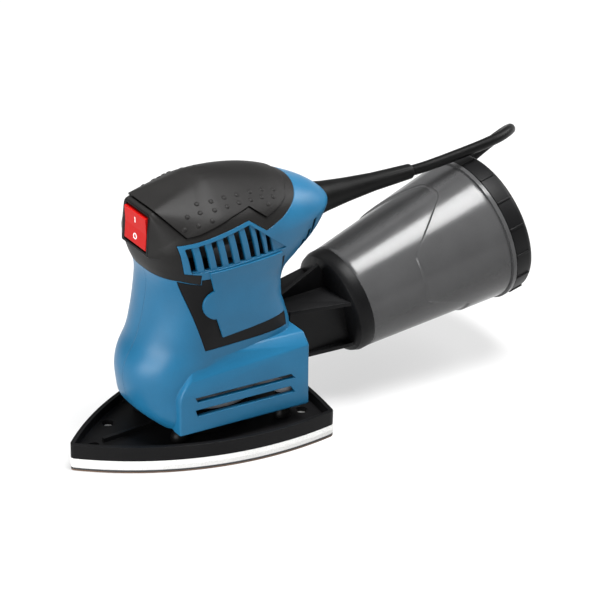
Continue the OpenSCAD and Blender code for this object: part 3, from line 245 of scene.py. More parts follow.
METALS = {
    "steel": metal((0.40, 0.40, 0.41), (0.58, 0.58, 0.59), 0.30, (1, 1, 6)),
    "iron": metal((0.16, 0.16, 0.17), (0.26, 0.26, 0.27), 0.45, (3, 1, 1)),
    "lamination_steel": metal((0.20, 0.20, 0.22), (0.34, 0.34, 0.36), 0.42, (0.2, 0.2, 8)),
    "copper": metal((0.50, 0.19, 0.08), (0.72, 0.32, 0.16), 0.34, (0.3, 0.3, 5)),
    "brass_pins": metal((0.52, 0.50, 0.46), (0.66, 0.64, 0.60), 0.26, (6, 1, 1)),
}
print(len(METALS), "metals")

# %% [markdown]
# ## Foam, grit and cloth
# Foam and grit are cells: a Voronoi texture gives the distance to the nearest cell's middle. Cloth and
# filter paper are two sets of threads, and a wave texture draws one set each.


# %% Soft layers, and all the materials
def cellular(dark, light, scale, depth, rough):
    def paint(p):
        cell = p.node("TexVoronoi", {}, {"Vector": p, "Scale": scale})
        slow = p.noise(70.0, 3.0)
        return {
            "Base Color": (cell * 0.7 + slow * 0.5).ramp(0.2, 0.9).mix((*light, 1), (*dark, 1)),
            "Roughness": (slow - 0.5) * 0.1 + rough,
            "Normal": (1.0 - cell).bump(depth, 0.8),
        }

    return paint


def woven(dark, light, scale, depth):
    def paint(p):
        thread = {"Vector": p, "Scale": scale, "Distortion": 0.6}
        warp = p.node("TexWave", {"bands_direction": "X"}, thread, 1)
        weft = p.node("TexWave", {"bands_direction": "Z"}, thread, 1)
        cloth = warp * 0.5 + weft * 0.5
        return {
            "Base Color": (cloth + (p.noise(80.0) - 0.5) * 0.4).mix((*dark, 1), (*light, 1)),
            "Roughness": cloth * 0.15 + 0.7,
            "Normal": cloth.bump(depth, 0.7),
        }

    return paint


SOFT_LAYERS = {
    "carbon": cellular((0.012, 0.012, 0.012), (0.030, 0.030, 0.031), 2500, 2e-5, 0.62),
    "foam": cellular((0.56, 0.56, 0.55), (0.72, 0.72, 0.71), 1500, 2.0e-4, 0.85),
    "abrasive": cellular((0.045, 0.028, 0.020), (0.20, 0.11, 0.06), 3200, 2.0e-4, 0.80),
    "textile": woven((0.012, 0.012, 0.013), (0.045, 0.045, 0.047), 260, 1e-4),
    "filter_paper": woven((0.52, 0.48, 0.38), (0.68, 0.64, 0.54), 160, 5e-5),
    "mark_white": moulded((0.70, 0.70, 0.68), (0.82, 0.82, 0.80), 900, 1e-5, 0.40, 0.0),
}
look = {name: material(name, paint) for name, paint in {**PAINT, **METALS, **SOFT_LAYERS}.items()}
print(len(look), "materials")

# %% [markdown]
# ## Inner parts keep their own meshes
# The motor, the bearings and the electrics came over exact from the model, so they only need their finish.
# The record says which material slot each node takes.

# %% Paint every node by its slot
slot_of = {entry["node"]: entry["material_slot"] for entry in frame["record"]["subparts"]}
body_of = {name: nodes[name]["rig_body"] for name in nodes}
for name, thing in nodes.items():
    thing.data.materials.clear()
    thing.data.materials.append(look[slot_of[name]])
print(len(slot_of), "nodes painted")

# %% [markdown]
# ## Helpers for new skins
# `raw` turns a finished bmesh into an object. `keep` makes that object a piece that rides on a body and
# stands for the nodes it refines. Smooth shading is cut where faces meet at a real edge, and a bevel
# modifier takes the knife edge off.


# %% Make a piece of a bmesh
def raw(name, bm):
    bmesh.ops.recalc_face_normals(bm, faces=bm.faces)
    mesh = bpy.data.meshes.new(name)
    bm.to_mesh(mesh)
    bm.free()
    thing = bpy.data.objects.new(name, mesh)
    bpy.context.scene.collection.objects.link(thing)
    return thing


SHARP = math.radians(38)


def keep(thing, paint, replaced, edge=0.0, body=None):
    mesh = thing.data
    mesh.materials.clear()
    mesh.materials.append(look[paint])
    mesh.shade_smooth()
    mesh.set_sharp_from_angle(angle=SHARP)
    if edge:
        soft = thing.modifiers.new("edge", "BEVEL")
        soft.width = edge * MM
        soft.segments = 2
        soft.limit_method = "ANGLE"
        soft.angle_limit = SHARP
        soft.harden_normals = True
    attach(thing, body or body_of[replaced[0]])
    if replaced:
        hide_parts(*replaced)
    print(thing.name, len(mesh.polygons), "faces")
    return thing


# %% [markdown]
# ## The cord
# A mains cord is one round line, so its middle line is drawn first: a lead that comes down behind the dust
# box, a flat coil in two layers, and a short tail to the plug. A smooth curve is run through the points.

# %% The cord's line
LEAD = [
    (145, 0, 127.2), (155, 0, 127.3), (166, 0, 128), (178, 0, 129), (190, 0, 130.1), (202, 0.3, 131.3),
    (213, 2, 132), (223, 7, 131.2), (231, 15, 127.5), (236, 25, 121), (238, 36, 112), (237.7, 46.6, 101.5),
    (235.3, 56.7, 90), (231, 64.2, 79), (225.1, 69.7, 67), (218.2, 74.2, 55), (211.2, 78.2, 43.5),
    (204.7, 83, 31.5), (199.6, 89.4, 20.5), (197.8, 98.9, 11.5), (199.5, 108.5, 7), (203.93, 118.21, 4.4),
]
TAIL = [(237, 50, 11), (225, 52, 9), (213.4, 55.2, 7), (207.6, 56.75, 7)]
COIL_MIDDLE, COIL_REACH, COIL_FLOOR = (250, 99), 49.5, 4.4
COIL_PITCH, COIL_START, COIL_SWEEP = 7, 150, 2400
CLIMB_FROM, CLIMB_OVER = 1110, 180


def coil_point(a):
    reach = COIL_REACH - COIL_PITCH * min(a, COIL_SWEEP - a) / 360
    lift = COIL_FLOOR + COIL_PITCH * min(max((a - CLIMB_FROM) / CLIMB_OVER, 0), 1)
    heading = math.radians(COIL_START - a)
    x, y = COIL_MIDDLE
    return (x + reach * math.cos(heading), y + reach * math.sin(heading), lift)


def between(p, q, r, s, t):
    first = (r - p) * t
    second = (2 * p - 5 * q + 4 * r - s) * t**2
    third = (3 * q - p - 3 * r + s) * t**3
    return (2 * q + first + second + third) / 2


def through(points, steps):
    spots = [Vector(p) for p in (points[0], *points, points[-1])]
    line = []
    for four in zip(spots, spots[1:], spots[2:], spots[3:]):
        line += [between(*four, k / steps) for k in range(steps)]
    return [*line, spots[-1]]


coil = [coil_point(a) for a in range(0, COIL_SWEEP + 1, 15)]
cord_line = [spot * MM for spot in through([*LEAD, *coil, *TAIL], 3)]
cord_length = sum((b - a).length for a, b in zip(cord_line, cord_line[1:]))
print("cord", round(cord_length, 4), "m in", len(cord_line), "points")

# %% [markdown]
# A curve with a round bevel is the right tool for a cord: Blender sweeps the section along the line, and
# the line can still be moved afterwards.

# %% Sweep the cord
CORD_RADIUS = 3.2
shape = bpy.data.curves.new("cord", "CURVE")
shape.dimensions = "3D"
shape.bevel_depth = CORD_RADIUS * MM
shape.bevel_resolution = 5
spline = shape.splines.new("POLY")
spline.points.add(len(cord_line) - 1)
for point, place in zip(spline.points, cord_line):
    point.co = (*place, 1)
spline.use_smooth = True
shape.materials.append(look["black_rubber"])
cord = bpy.data.objects.new("cord", shape)
bpy.context.scene.collection.objects.link(cord)
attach(cord, "housing")
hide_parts("cord_lead", "cord_coil")
print("cord", 2 * CORD_RADIUS, "mm thick")

# %% [markdown]
# ## Exact parts with softened edges
# Screws, legs, the plate and the adapter have the right shape already. A merged copy gets a small rounded
# edge, because real mouldings catch the light along their edges and a sharp computer edge does not.

# %% Softened copies
SOFTENED = {
    "base_plate": 0.5, "legs": 0.4, "leg_screws": 0.2, "housing_screws": 0.25, "dust_duct": 0.4,
    "box_adapter": 0.6, "lid_seal": 0.0, "dust_seal": 0.3, "cord_relief": 0.5, "switch_rocker": 0.5,
    "plug_pins": 0.5, "plug_body": 0.6, "wiring": 0.0,
    "filter_pleats": 0.0, "filter_frame": 0.3, "cord_entry": 0.0,
}
FLAT = math.radians(0.5)


def copied(node):
    bm = bmesh.new()
    bm.from_mesh(nodes[node].data)
    bmesh.ops.remove_doubles(bm, verts=bm.verts, dist=1e-6)
    bmesh.ops.dissolve_limit(bm, angle_limit=FLAT, verts=bm.verts, edges=bm.edges)
    return bm


for node, edge in SOFTENED.items():
    paint = "filter_paper" if node == "filter_pleats" else slot_of[node]
    keep(raw(node + "_fine", copied(node)), paint, [node], edge)

# %% [markdown]
# ## Small shaping tools
# Four short helpers save saying the same thing again: one rounds edges, one turns points about the origin,
# one spins an outline once round the upright axis, and one gives the matrix that lays a thing on a surface.


# %% Round, turn, spin and lay
def eased(bm, edges, width, segments=2):
    bmesh.ops.bevel(
        bm, geom=edges, offset=width * MM, segments=segments, profile=0.5, affect="EDGES", material=-1
    )


def turned(bm, verts, degrees, axis):
    matrix = Matrix.Rotation(math.radians(degrees), 3, axis)
    bmesh.ops.rotate(bm, cent=(0, 0, 0), matrix=matrix, verts=verts)


def revolved(bm, verts, edges, steps):
    bmesh.ops.spin(
        bm, geom=[*verts, *edges], axis=(0, 0, 1), cent=(0, 0, 0), dvec=(0, 0, 0),
        angle=2 * math.pi, steps=steps, use_merge=True,
    )


def lying(spot, normal):
    return Matrix.Translation(spot) @ normal.to_track_quat("Z", "Y").to_matrix().to_4x4()


# %% [markdown]
# ## Marks of the switch
# The rocker carries a stroke and a ring, the common signs for on and off. A ray is shot at the rocker's
# face to find where each mark lies, so the marks sit in the face whatever its slope. The stroke is a
# bevelled block, and the ring is a small circle spun round.

# %% Stroke and ring
STROKE_HEIGHT, RING_HEIGHT = 145.7, 135.7
STROKE_SIZE, STROKE_EDGE = (0.7, 3.4, 0.4), 0.12
RING_RADIUS, RING_THICK = 1.5, 0.34
rocker = nodes["switch_rocker"].data
face = BVHTree.FromPolygons([v.co for v in rocker.vertices], [p.vertices for p in rocker.polygons])


def on_face(z):
    spot, normal, _, _ = face.ray_cast(Vector((-0.1, 0, z * MM)), Vector((1, 0, 0)))
    return lying(spot, normal)


bm = bmesh.new()
stroke = bmesh.ops.create_cube(bm, size=1)["verts"]
bmesh.ops.scale(bm, vec=Vector(STROKE_SIZE) * MM, verts=stroke)
eased(bm, bm.edges[:], STROKE_EDGE)
bmesh.ops.transform(bm, matrix=on_face(STROKE_HEIGHT), verts=bm.verts)
done = set(bm.verts)
made = bmesh.ops.create_circle(bm, segments=12, radius=RING_THICK * MM)["verts"]
turned(bm, made, 90, "X")
bmesh.ops.translate(bm, vec=(RING_RADIUS * MM, 0, 0), verts=made)
revolved(bm, made, dict.fromkeys(e for v in made for e in v.link_edges), 32)
ring = [v for v in bm.verts if v not in done]
bmesh.ops.transform(bm, matrix=on_face(RING_HEIGHT), verts=ring)
keep(raw("switch_marks", bm), "mark_white", [], body="rocker")

# %% [markdown]
# ## The body's form
# The housing leans and swells on the way up: skirt, chin, waist, head and crown. Its main sizes are the
# heights of those five, how far the front and the rear reach at them, and the half widths. A function for
# each stretch gives a height part of the way up.

# %% Main sizes of the housing
SKIRT_Z, CHIN_Z, WAIST_Z, HEAD_Z, CROWN_Z = 21.5, 51, 104, 134, 164
CHIN_X, WAIST_X, HEAD_X = -52.5, -36.5, -43
BODY_END, WAIST_END, HEAD_END = 46.5, 41, 79.5
WAIST_HALF, HEAD_HALF = 33, 35


def part_way(a, b, t):
    return a + (b - a) * t


def at_skirt(t):
    return part_way(SKIRT_Z, CHIN_Z, t)


def at_belly(t):
    return part_way(CHIN_Z, WAIST_Z, t)


def at_neck(t):
    return part_way(WAIST_Z, HEAD_Z, t)


def at_crown(t):
    return part_way(HEAD_Z, CROWN_Z, t)


print("housing", CROWN_Z - SKIRT_Z, "mm high")

# %% [markdown]
# The form is a stack of rounded sections. Each row below is a height, where the section starts and ends,
# its half width, and how square it is in front and behind. A smooth curve runs through the rows, so that a
# few of them are enough.

# %% Sections of the housing
SECTIONS = [
    (SKIRT_Z, CHIN_X + 14, BODY_END - 0.5, WAIST_HALF - 1, 3.4, 6),
    (at_skirt(0.3), CHIN_X + 5, BODY_END, WAIST_HALF, 2.6, 6),
    (at_skirt(0.63), CHIN_X + 1.5, BODY_END, WAIST_HALF - 1, 2.3, 6),
    (CHIN_Z, CHIN_X, BODY_END, WAIST_HALF - 1.5, 2.2, 6),
    (at_belly(0.17), CHIN_X + 2, BODY_END, WAIST_HALF - 1.5, 2.2, 6),
    (at_belly(0.36), part_way(CHIN_X, WAIST_X, 0.48), BODY_END, WAIST_HALF - 1, 2.15, 5),
    (at_belly(0.55), part_way(CHIN_X, WAIST_X, 0.71), BODY_END - 2.75, WAIST_HALF - 0.4, 2.2, 4.5),
    (at_belly(0.77), part_way(CHIN_X, WAIST_X, 0.89), WAIST_END, WAIST_HALF, 2.25, 4),
    (WAIST_Z, WAIST_X, WAIST_END + 5, WAIST_HALF, 2.4, 3.3),
    (at_neck(0.27), WAIST_X - 0.8, part_way(WAIST_END, HEAD_END, 0.44), WAIST_HALF + 0.5, 2.5, 2.9),
    (at_neck(0.53), WAIST_X - 3.9, part_way(WAIST_END, HEAD_END, 0.75), HEAD_HALF - 0.5, 2.6, 2.6),
    (at_neck(0.8), part_way(WAIST_X, HEAD_X, 0.93), part_way(WAIST_END, HEAD_END, 0.95), HEAD_HALF, 2.8, 2.4),
    (HEAD_Z, HEAD_X, HEAD_END, HEAD_HALF, 2.9, 2.3),
    (at_crown(0.26), HEAD_X + 1.5, HEAD_END - 9, HEAD_HALF - 0.6, 2.55, 2.2),
    (at_crown(0.48), HEAD_X + 5.4, HEAD_END - 21.5, HEAD_HALF - 3.2, 1.92, 2.2),
    (at_crown(0.68), HEAD_X + 11.8, HEAD_END - 34.3, HEAD_HALF - 11, 1.82, 2.2),
    (at_crown(0.84), HEAD_X + 22, HEAD_END - 48.3, HEAD_HALF - 19.2, 2, 2.1),
    (at_crown(0.95), HEAD_X + 31.8, HEAD_END - 65.8, HEAD_HALF - 25.8, 2.1, 2),
    (CROWN_Z, HEAD_X + 37, HEAD_END - 76.5, HEAD_HALF - 30.5, 2, 2),
]


def rows_between(rows, steps):
    ends = [rows[0], *rows, rows[-1]]
    made = []
    for four in zip(ends, ends[1:], ends[2:], ends[3:]):
        for k in range(steps):
            made.append([between(*column, k / steps) for column in zip(*four)])
    return [*made, list(rows[-1])]


print(len(SECTIONS), "drawn sections,", len(rows_between(SECTIONS, 6)), "in all")

# %% [markdown]
# Each section is a superellipse, which goes from an ellipse to a box as its power grows. A ring is extruded
# from section to section, as a ship's hull is planked frame by frame, and both ends are filled. The same
# form with an inset gives the inside of the shell.

# %% Plank the form
WIDEST = 0.36
COARSE = {"count": 64, "steps": 3}


def outline_point(row, inset, angle):
    front, rear, half = row[1] + inset, row[2] - inset, max(row[3] - inset, 1)
    mid = front + (rear - front) * WIDEST
    c, s = math.cos(angle), math.sin(angle)
    n = row[4] if c < 0 else row[5]
    reach = mid - front if c < 0 else rear - mid
    lift = inset * min(max((row[0] - HEAD_Z) / (CROWN_Z - HEAD_Z), 0), 1) ** 2
    x = mid + reach * math.copysign(abs(c) ** (2 / n), c)
    return Vector((x, half * math.copysign(abs(s) ** (2 / n), s), row[0] - lift)) * MM


def verts_in(geom):
    return [g for g in geom if isinstance(g, bmesh.types.BMVert)]


def edges_round(bm, ring):
    return [bm.edges.get(pair) for pair in zip(ring, [*ring[1:], ring[0]])]


def planked(rings):
    bm = bmesh.new()
    ring = bmesh.ops.create_circle(bm, segments=len(rings[0]), radius=1)["verts"]
    for vert, place in zip(ring, rings[0]):
        vert.co = place
    first = ring
    for places in rings[1:]:
        fresh = set(verts_in(bmesh.ops.extrude_edge_only(bm, edges=edges_round(bm, ring))["geom"]))
        ring = [next(e.other_vert(v) for e in v.link_edges if e.other_vert(v) in fresh) for v in ring]
        for vert, place in zip(ring, places):
            vert.co = place
    for end in (first, ring):
        bmesh.ops.edgeloop_fill(bm, edges=edges_round(bm, end))
    return bm


def form(inset, count=112, steps=6):
    angles = [2 * math.pi * k / count for k in range(count)]
    rows = rows_between(SECTIONS, steps)
    return planked([[outline_point(row, inset, a) for a in angles] for row in rows])


# %% [markdown]
# ## Cutting tools
# A mould maker cuts openings with shaped electrodes. Here the electrode is a closed outline that is filled
# and pushed through the body, or a plain block.


# %% Prisms and blocks
def outlined(bm, spots):
    verts = [bm.verts.new(Vector(p) * MM) for p in spots]
    edges = [bm.edges.new(pair) for pair in zip(verts, [*verts[1:], verts[0]])]
    return verts, edges


def prism(outline, low, high, axis="Y"):
    bm = bmesh.new()
    spots = [(x, low, z) if axis == "Y" else (x, z, low) for x, z in outline]
    _, edges = outlined(bm, spots)
    cap = bmesh.ops.edgeloop_fill(bm, edges=edges)["faces"]
    fresh = verts_in(bmesh.ops.extrude_face_region(bm, geom=cap)["geom"])
    push = (0, (high - low) * MM, 0) if axis == "Y" else (0, 0, (high - low) * MM)
    bmesh.ops.translate(bm, vec=push, verts=fresh)
    return bm


def block(low, high):
    bm = bmesh.new()
    bmesh.ops.create_cube(bm, size=1)
    low, high = Vector(low) * MM, Vector(high) * MM
    bmesh.ops.scale(bm, vec=high - low, verts=bm.verts)
    bmesh.ops.translate(bm, vec=(low + high) / 2, verts=bm.verts)
    return bm


# %% [markdown]
# The tool is taken away with a Boolean modifier, and the result is stored as a plain mesh. The exact solver
# is slower than the others, but it holds where faces lie on each other. The tool is thrown away afterwards.


# %% Booleans
def settle(thing, kind, **settings):
    step = thing.modifiers.new("step", kind)
    for key, value in settings.items():
        setattr(step, key, value)
    done = thing.evaluated_get(bpy.context.evaluated_depsgraph_get())
    old = thing.data
    fresh = bpy.data.meshes.new_from_object(done)
    thing.modifiers.clear()
    thing.data = fresh
    bpy.data.meshes.remove(old)


def cut(thing, bm, operation="DIFFERENCE"):
    tool = raw("tool", bm)
    settle(thing, "BOOLEAN", operation=operation, solver="EXACT", object=tool)
    bpy.data.meshes.remove(tool.data)
    return thing


def bm_of(thing):
    bm = bmesh.new()
    bm.from_mesh(thing.data)
    bpy.data.meshes.remove(thing.data)
    return bm


# %% [markdown]
# ## The coil's strap
# A strip of tape holds the coil together. Rings are set round each turn that runs under it, and a hull is
# stretched over them as the tape would be. A smaller hull is taken out, which leaves the tape's thickness.

# %% Strap and free cord
STRAP_HEADING, STRAP_HALF = 50, 6
STRAP_OUTER, STRAP_INNER = 4.1, 3.3


def hulled(bm):
    hull = bmesh.ops.convex_hull(bm, input=bm.verts)
    spare = set(verts_in([*hull["geom_interior"], *hull["geom_unused"]]))
    bmesh.ops.delete(bm, geom=list(spare), context="VERTS")
    return bm


def bundle(radius, half):
    bm = bmesh.new()
    middle = Matrix.Translation(Vector((*COIL_MIDDLE, 0)) * MM)
    seat = middle @ Matrix.Rotation(math.radians(STRAP_HEADING), 4, "Z")
    for place in cord_line:
        spot = seat.inverted() @ place
        if spot.x > 0 and abs(spot.y) < (STRAP_HALF + 0.5) * MM:
            for y in (-half * MM, half * MM):
                ring = bmesh.ops.create_circle(bm, segments=24, radius=radius * MM)["verts"]
                turned(bm, ring, 90, "X")
                bmesh.ops.translate(bm, vec=(spot.x, y, spot.z), verts=ring)
    bmesh.ops.transform(bm, matrix=seat, verts=bm.verts)
    return hulled(bm)


strap = raw("cord_tie_fine", bundle(STRAP_OUTER, STRAP_HALF))
cut(strap, bundle(STRAP_INNER, STRAP_HALF + 2))
keep(strap, slot_of["cord_tie"], ["cord_tie"], 0.2)

# %% [markdown]
# ## The housing halves
# The lower end of the housing is a skirt over the plate. It is a hull with a rounded nose and a slanted
# shoulder, wider at the rear, and its folds are rounded a little.

# %% Skirt
SKIRT_X, SKIRT_NOSE, SKIRT_SHOULDER = -35, 14, 6
SKIRT_HALF_FRONT, SKIRT_HALF_REAR = 33, 41
SKIRT_TOP_FRONT, SKIRT_TOP_REAR = 55.5, 60


def skirt(inset, edge):
    front, rear = SKIRT_X + inset, BODY_END - inset
    a, b = SKIRT_HALF_FRONT - inset, SKIRT_HALF_REAR - inset
    nose_top, top = SKIRT_TOP_FRONT - inset, SKIRT_TOP_REAR - inset
    spots = []
    for k in range(7):
        angle = math.radians(15 * k)
        x = front + SKIRT_NOSE * (1 - math.cos(angle))
        spots.append((x, a, SKIRT_Z))
        spots.append((x, a, nose_top - SKIRT_NOSE * (1 - math.sin(angle))))
    spots += [(rear, b, SKIRT_Z), (rear, b, top), (rear - 1, b, top)]
    spots.append((rear, b - SKIRT_SHOULDER, top + SKIRT_SHOULDER))
    spots.append((front + SKIRT_NOSE, a - SKIRT_SHOULDER, top + SKIRT_SHOULDER))
    bm = bmesh.new()
    for x, y, z in spots:
        for side in (-1, 1):
            bm.verts.new(Vector((x, side * y, z)) * MM)
    hulled(bm)
    bmesh.ops.dissolve_limit(bm, angle_limit=FLAT, verts=bm.verts, edges=bm.edges)
    if edge:
        folds = [e for e in bm.edges if e.calc_face_angle(0) > math.radians(20)]
        high = (SKIRT_Z + 0.5) * MM
        eased(bm, [e for e in folds if max(v.co.z for v in e.verts) > high], edge, 3)
    return bm


# %% [markdown]
# The real case is two shells that meet in the middle, so the whole case is modelled once, hollowed, cut,
# and then parted. The skirt is joined to the body, the inside of both is taken out, and so is the place of
# the grip.

# %% Case
WALL, FAR, SKIRT_EDGE = 2.8, 100, 1.0
GRIP = [
    (-80, 115.5), (-30, 115), (-20, 112.5), (-20, 119), (-29, 120.5), (-33, 138), (9.5, 145), (21, 136.2),
    (33, 140), (43, 144.6), (54.5, 151), (58, 190), (-80, 190),
]
UNDERSIDE = [(-35.7, -26), (43.7, -33), (43.7, 33), (-35.7, 26)]
case = raw("case", form(0))
cut(case, skirt(0, SKIRT_EDGE), "UNION")
cut(case, form(WALL, **COARSE))
cut(case, skirt(WALL, 0))
cut(case, prism(UNDERSIDE, -FAR, SKIRT_Z + 0.5, "Z"))
cut(case, prism(GRIP, -FAR, FAR))
print("case", len(case.data.polygons), "faces")

# %% [markdown]
# A sunk panel and the bed of the inlay have to follow the curved wall of the flank. So each is the band
# between two insets of the form, cut to an outline. `grown` makes an outline wider or narrower all round.

# %% Bands of the wall
SKIN_FROM = 10


def grown(outline, amount):
    spots = [Vector(p) for p in outline]
    area = sum(a.x * b.y - b.x * a.y for a, b in zip(spots, [*spots[1:], spots[0]]))
    sign = 1 if area > 0 else -1
    made = []
    for a, b, c in zip([spots[-1], *spots], spots, [*spots[1:], spots[0]]):
        u, v = (b - a).normalized(), (c - b).normalized()
        n1, n2 = Vector((u.y, -u.x)) * sign, Vector((v.y, -v.x)) * sign
        made.append(b + (n1 + n2) * (amount / max(1 + n1.dot(n2), 0.2)))
    return [tuple(p) for p in made]


def flank(side, start):
    return (-FAR, -start) if side < 0 else (start, FAR)


def skin_between(low, high, outline, side):
    band = raw("band", form(low))
    cut(band, form(high))
    cut(band, prism(outline, *flank(side, SKIN_FROM)), "INTERSECT")
    return bm_of(band)


# %% [markdown]
# Each flank gets the slanted cooling slots in their sunk panel, the bed of the inlay and the two long slots
# of the skirt. The upper end of each cooling slot follows the panel's bent upper edge.

# %% Openings of the flanks
INLAY = [(-17.5, 70.5), (39, 69.5), (35, 115.5), (-19.6, 115.5), (-19.6, 112.2), (-31, 114.5)]
PANEL = [(-29.6, 135.9), (9.8, 142.6), (35.5, 121.3), (-25.2, 120.4)]
OUTSIDE, PANEL_DEEP, BED_DEEP, BED_ROOM = -4, 0.7, 1.3, 0.15
VENT_FROM, SLOT_FROM = 24, 20
VENTS, VENT_FIRST, VENT_PITCH, VENT_HALF = 8, -27.5, 7.1, 1.9
RISING, FALLING = (140, 0.15), (149.5, -0.81)
VENT_OVER, VENT_LEVEL, VENT_LEAN, VENT_FEET = 0.8, 122.6, 4.6 / 17, (121.6, 121.4)
SKIRT_SLOTS = ((42, 3.2), (33.5, 4.4))
SLOT_LOWER, SLOT_UPPER = (-24, 38), (-25.5, 35)


def vent(x):
    top, slope = min((start + slope * x, slope) for start, slope in (RISING, FALLING))
    foot = x + VENT_LEAN * (top - VENT_LEVEL)
    return [
        (x - VENT_HALF, top + VENT_OVER - VENT_HALF * slope),
        (x + VENT_HALF, top + VENT_OVER + VENT_HALF * slope),
        (foot + VENT_HALF, VENT_FEET[0]),
        (foot - VENT_HALF, VENT_FEET[1]),
    ]


for side in (-1, 1):
    cut(case, skin_between(OUTSIDE, PANEL_DEEP, PANEL, side))
    cut(case, skin_between(OUTSIDE, BED_DEEP, grown(INLAY, BED_ROOM), side))
    for i in range(VENTS):
        cut(case, prism(vent(VENT_FIRST + VENT_PITCH * i), *flank(side, VENT_FROM)))
    for z, tall in SKIRT_SLOTS:
        lower = [(x, z - tall / 2) for x in SLOT_LOWER]
        upper = [(x, z + tall / 2) for x in reversed(SLOT_UPPER)]
        cut(case, prism([*lower, *upper], *flank(side, SLOT_FROM)))
print("case", len(case.data.polygons), "faces")

# %% [markdown]
# The tail that holds the cord has three slots across its slanted underside and three more low on each side,
# which let warm air out. A thin black baffle stands behind the side slots. Its black is painted shade for the
# dark inside of the slots, and it keeps light from falling through.

# %% Slots of the tail and the shade baffle
TAIL_SLOTS = ((58, 109), (64, 114), (70, 119.5))
TAIL_SLOT_HALF = Vector((1.5, 12.5, 7))
SIDE_SLOTS = ((50.3, 120.5), (54.6, 125.4), (58.9, 130.4))
SIDE_SLOT_HALF, SIDE_SLOT_LEAN, SIDE_SLOT_TALL = 1.3, -2.1, 10
SIDE_SPANS = ((-40, -18), (18, 40))
SHADE_BAFFLE_OUTSIDE, SHADE_BAFFLE_INSIDE = 0.8, 2.6
SHADE_BAFFLE_BOX = ((44, -32, 100), (84, 32, 132))
SHADE_BAFFLE_BORE = (12.6, 40, 200)
CORD_Z = 127.2


def rod(radius, start, end):
    bm = bmesh.new()
    bmesh.ops.create_cone(
        bm, cap_ends=True, segments=64, radius1=radius * MM, radius2=radius * MM, depth=(end - start) * MM
    )
    turned(bm, bm.verts, 90, "Y")
    bmesh.ops.translate(bm, vec=Vector(((start + end) / 2, 0, CORD_Z)) * MM, verts=bm.verts)
    return bm


for x, z in TAIL_SLOTS:
    slot = block(-TAIL_SLOT_HALF, TAIL_SLOT_HALF)
    turned(slot, slot.verts, 135, "Y")
    bmesh.ops.translate(slot, vec=Vector((x, 0, z)) * MM, verts=slot.verts)
    cut(case, slot)
for x, z in SIDE_SLOTS:
    foot, low = x + SIDE_SLOT_LEAN, z - SIDE_SLOT_TALL
    upper = [(x - SIDE_SLOT_HALF, z), (x + SIDE_SLOT_HALF, z)]
    lower = [(foot + SIDE_SLOT_HALF, low), (foot - SIDE_SLOT_HALF, low)]
    for span in SIDE_SPANS:
        cut(case, prism([*upper, *lower], *span))
# The baffle's black is painted shade: it stands for the dark inside behind the tail slots.
shade_baffle = raw("tail_shade_baffle", form(SHADE_BAFFLE_OUTSIDE))
cut(shade_baffle, form(SHADE_BAFFLE_INSIDE, **COARSE))
cut(shade_baffle, block(*SHADE_BAFFLE_BOX), "INTERSECT")
cut(shade_baffle, rod(*SHADE_BAFFLE_BORE))
print("shade_baffle", len(shade_baffle.data.polygons), "faces")

# %% [markdown]
# Last come the stepped hole that grips the strain relief by its flange and the square outlet for the dust
# box. Then the case is parted along its middle, with a hair of a seam between the halves.

# %% Part the case
RELIEF_BORES = ((3.4, 53, 90), (12.4, 63.3, 66.3), (10.4, 66, 200))
OUTLET = ((31.5, -17.4, 34.5), (200, 17.4, 69.9))
SEAM = 0.06
for bore in RELIEF_BORES:
    cut(case, rod(*bore))
cut(case, block(*OUTLET))
for side, node in ((-1, "housing_left"), (1, "housing_right")):
    half = case.copy()
    half.data = case.data.copy()
    half.name = node + "_fine"
    bpy.context.scene.collection.objects.link(half)
    y0, y1 = (-200, -SEAM) if side < 0 else (SEAM, 200)
    cut(half, block((-200, y0, -50), (200, y1, 250)), "INTERSECT")
    keep(half, "blue_plastic", [node])
bpy.data.meshes.remove(case.data)
# Painted shade: the black baffle reads as the dark inside of the tail slots.
keep(shade_baffle, "black_plastic", [], body="housing")

# %% [markdown]
# ## Grip shell and soft pad
# The hand holds a rubber cap that wraps the head, and the switch sits flush in the cap's front. A hull
# stretched from the head to the rim of the switch makes the brow, as rubber drawn over a box would lie. The
# hull is remeshed into even small faces and smoothed, so that no crease is left.

# %% Grip with its brow
FRAME = [(-43.4, 128.6), (-31.4, 128.6), (-31.4, 144.6), (-38.4, 152.8), (-41.6, 152.8)]
OPENING = [(-200, 128.4), (-31.2, 128.4), (-31.2, 145.6), (-37.5, 153), (-200, 153)]
FRAME_HALF, OPENING_HALF, RIM_HALF, CORNER = 13.0, 13.2, 14, 1.6
RIM, TIP_INSET = 1, 0.15
TIP_BOX = ((-100, -100, 128), (-8, 100, 200))
VOXEL, SMOOTHINGS = 0.8, 4


def joined(bm, other):
    mesh = bpy.data.meshes.new("joined")
    other.to_mesh(mesh)
    other.free()
    bm.from_mesh(mesh)
    bpy.data.meshes.remove(mesh)
    return bm


def chamfered(outline, half):
    top = max(z for _, z in outline)
    wide = prism([(x, min(z, top - CORNER)) for x, z in outline], -half, half)
    return hulled(joined(wide, prism(outline, CORNER - half, half - CORNER)))


def grip_form(out):
    tip = raw("tip", form(TIP_INSET - out))
    cut(tip, block(*TIP_BOX), "INTERSECT")
    rim = [(x + RIM, z) for x, z in grown(FRAME, RIM + out)]
    brow = raw("brow", hulled(joined(bm_of(tip), chamfered(rim, RIM_HALF + out))))
    settle(brow, "REMESH", mode="VOXEL", voxel_size=VOXEL * MM)
    bm = bm_of(brow)
    every_way = {"use_axis_x": True, "use_axis_y": True, "use_axis_z": True}
    for _ in range(SMOOTHINGS):
        bmesh.ops.smooth_vert(bm, verts=bm.verts, factor=0.5, **every_way)
    head = raw("head", form(-out))
    cut(head, bm, "UNION")
    return bm_of(head)


shell = raw("grip_shell_fine", grip_form(0))
cut(shell, form(WALL, **COARSE))
cut(shell, prism(grown(GRIP, -0.2), -FAR, FAR), "INTERSECT")
cut(shell, chamfered(OPENING, OPENING_HALF))
print("shell", len(shell.data.polygons), "faces")

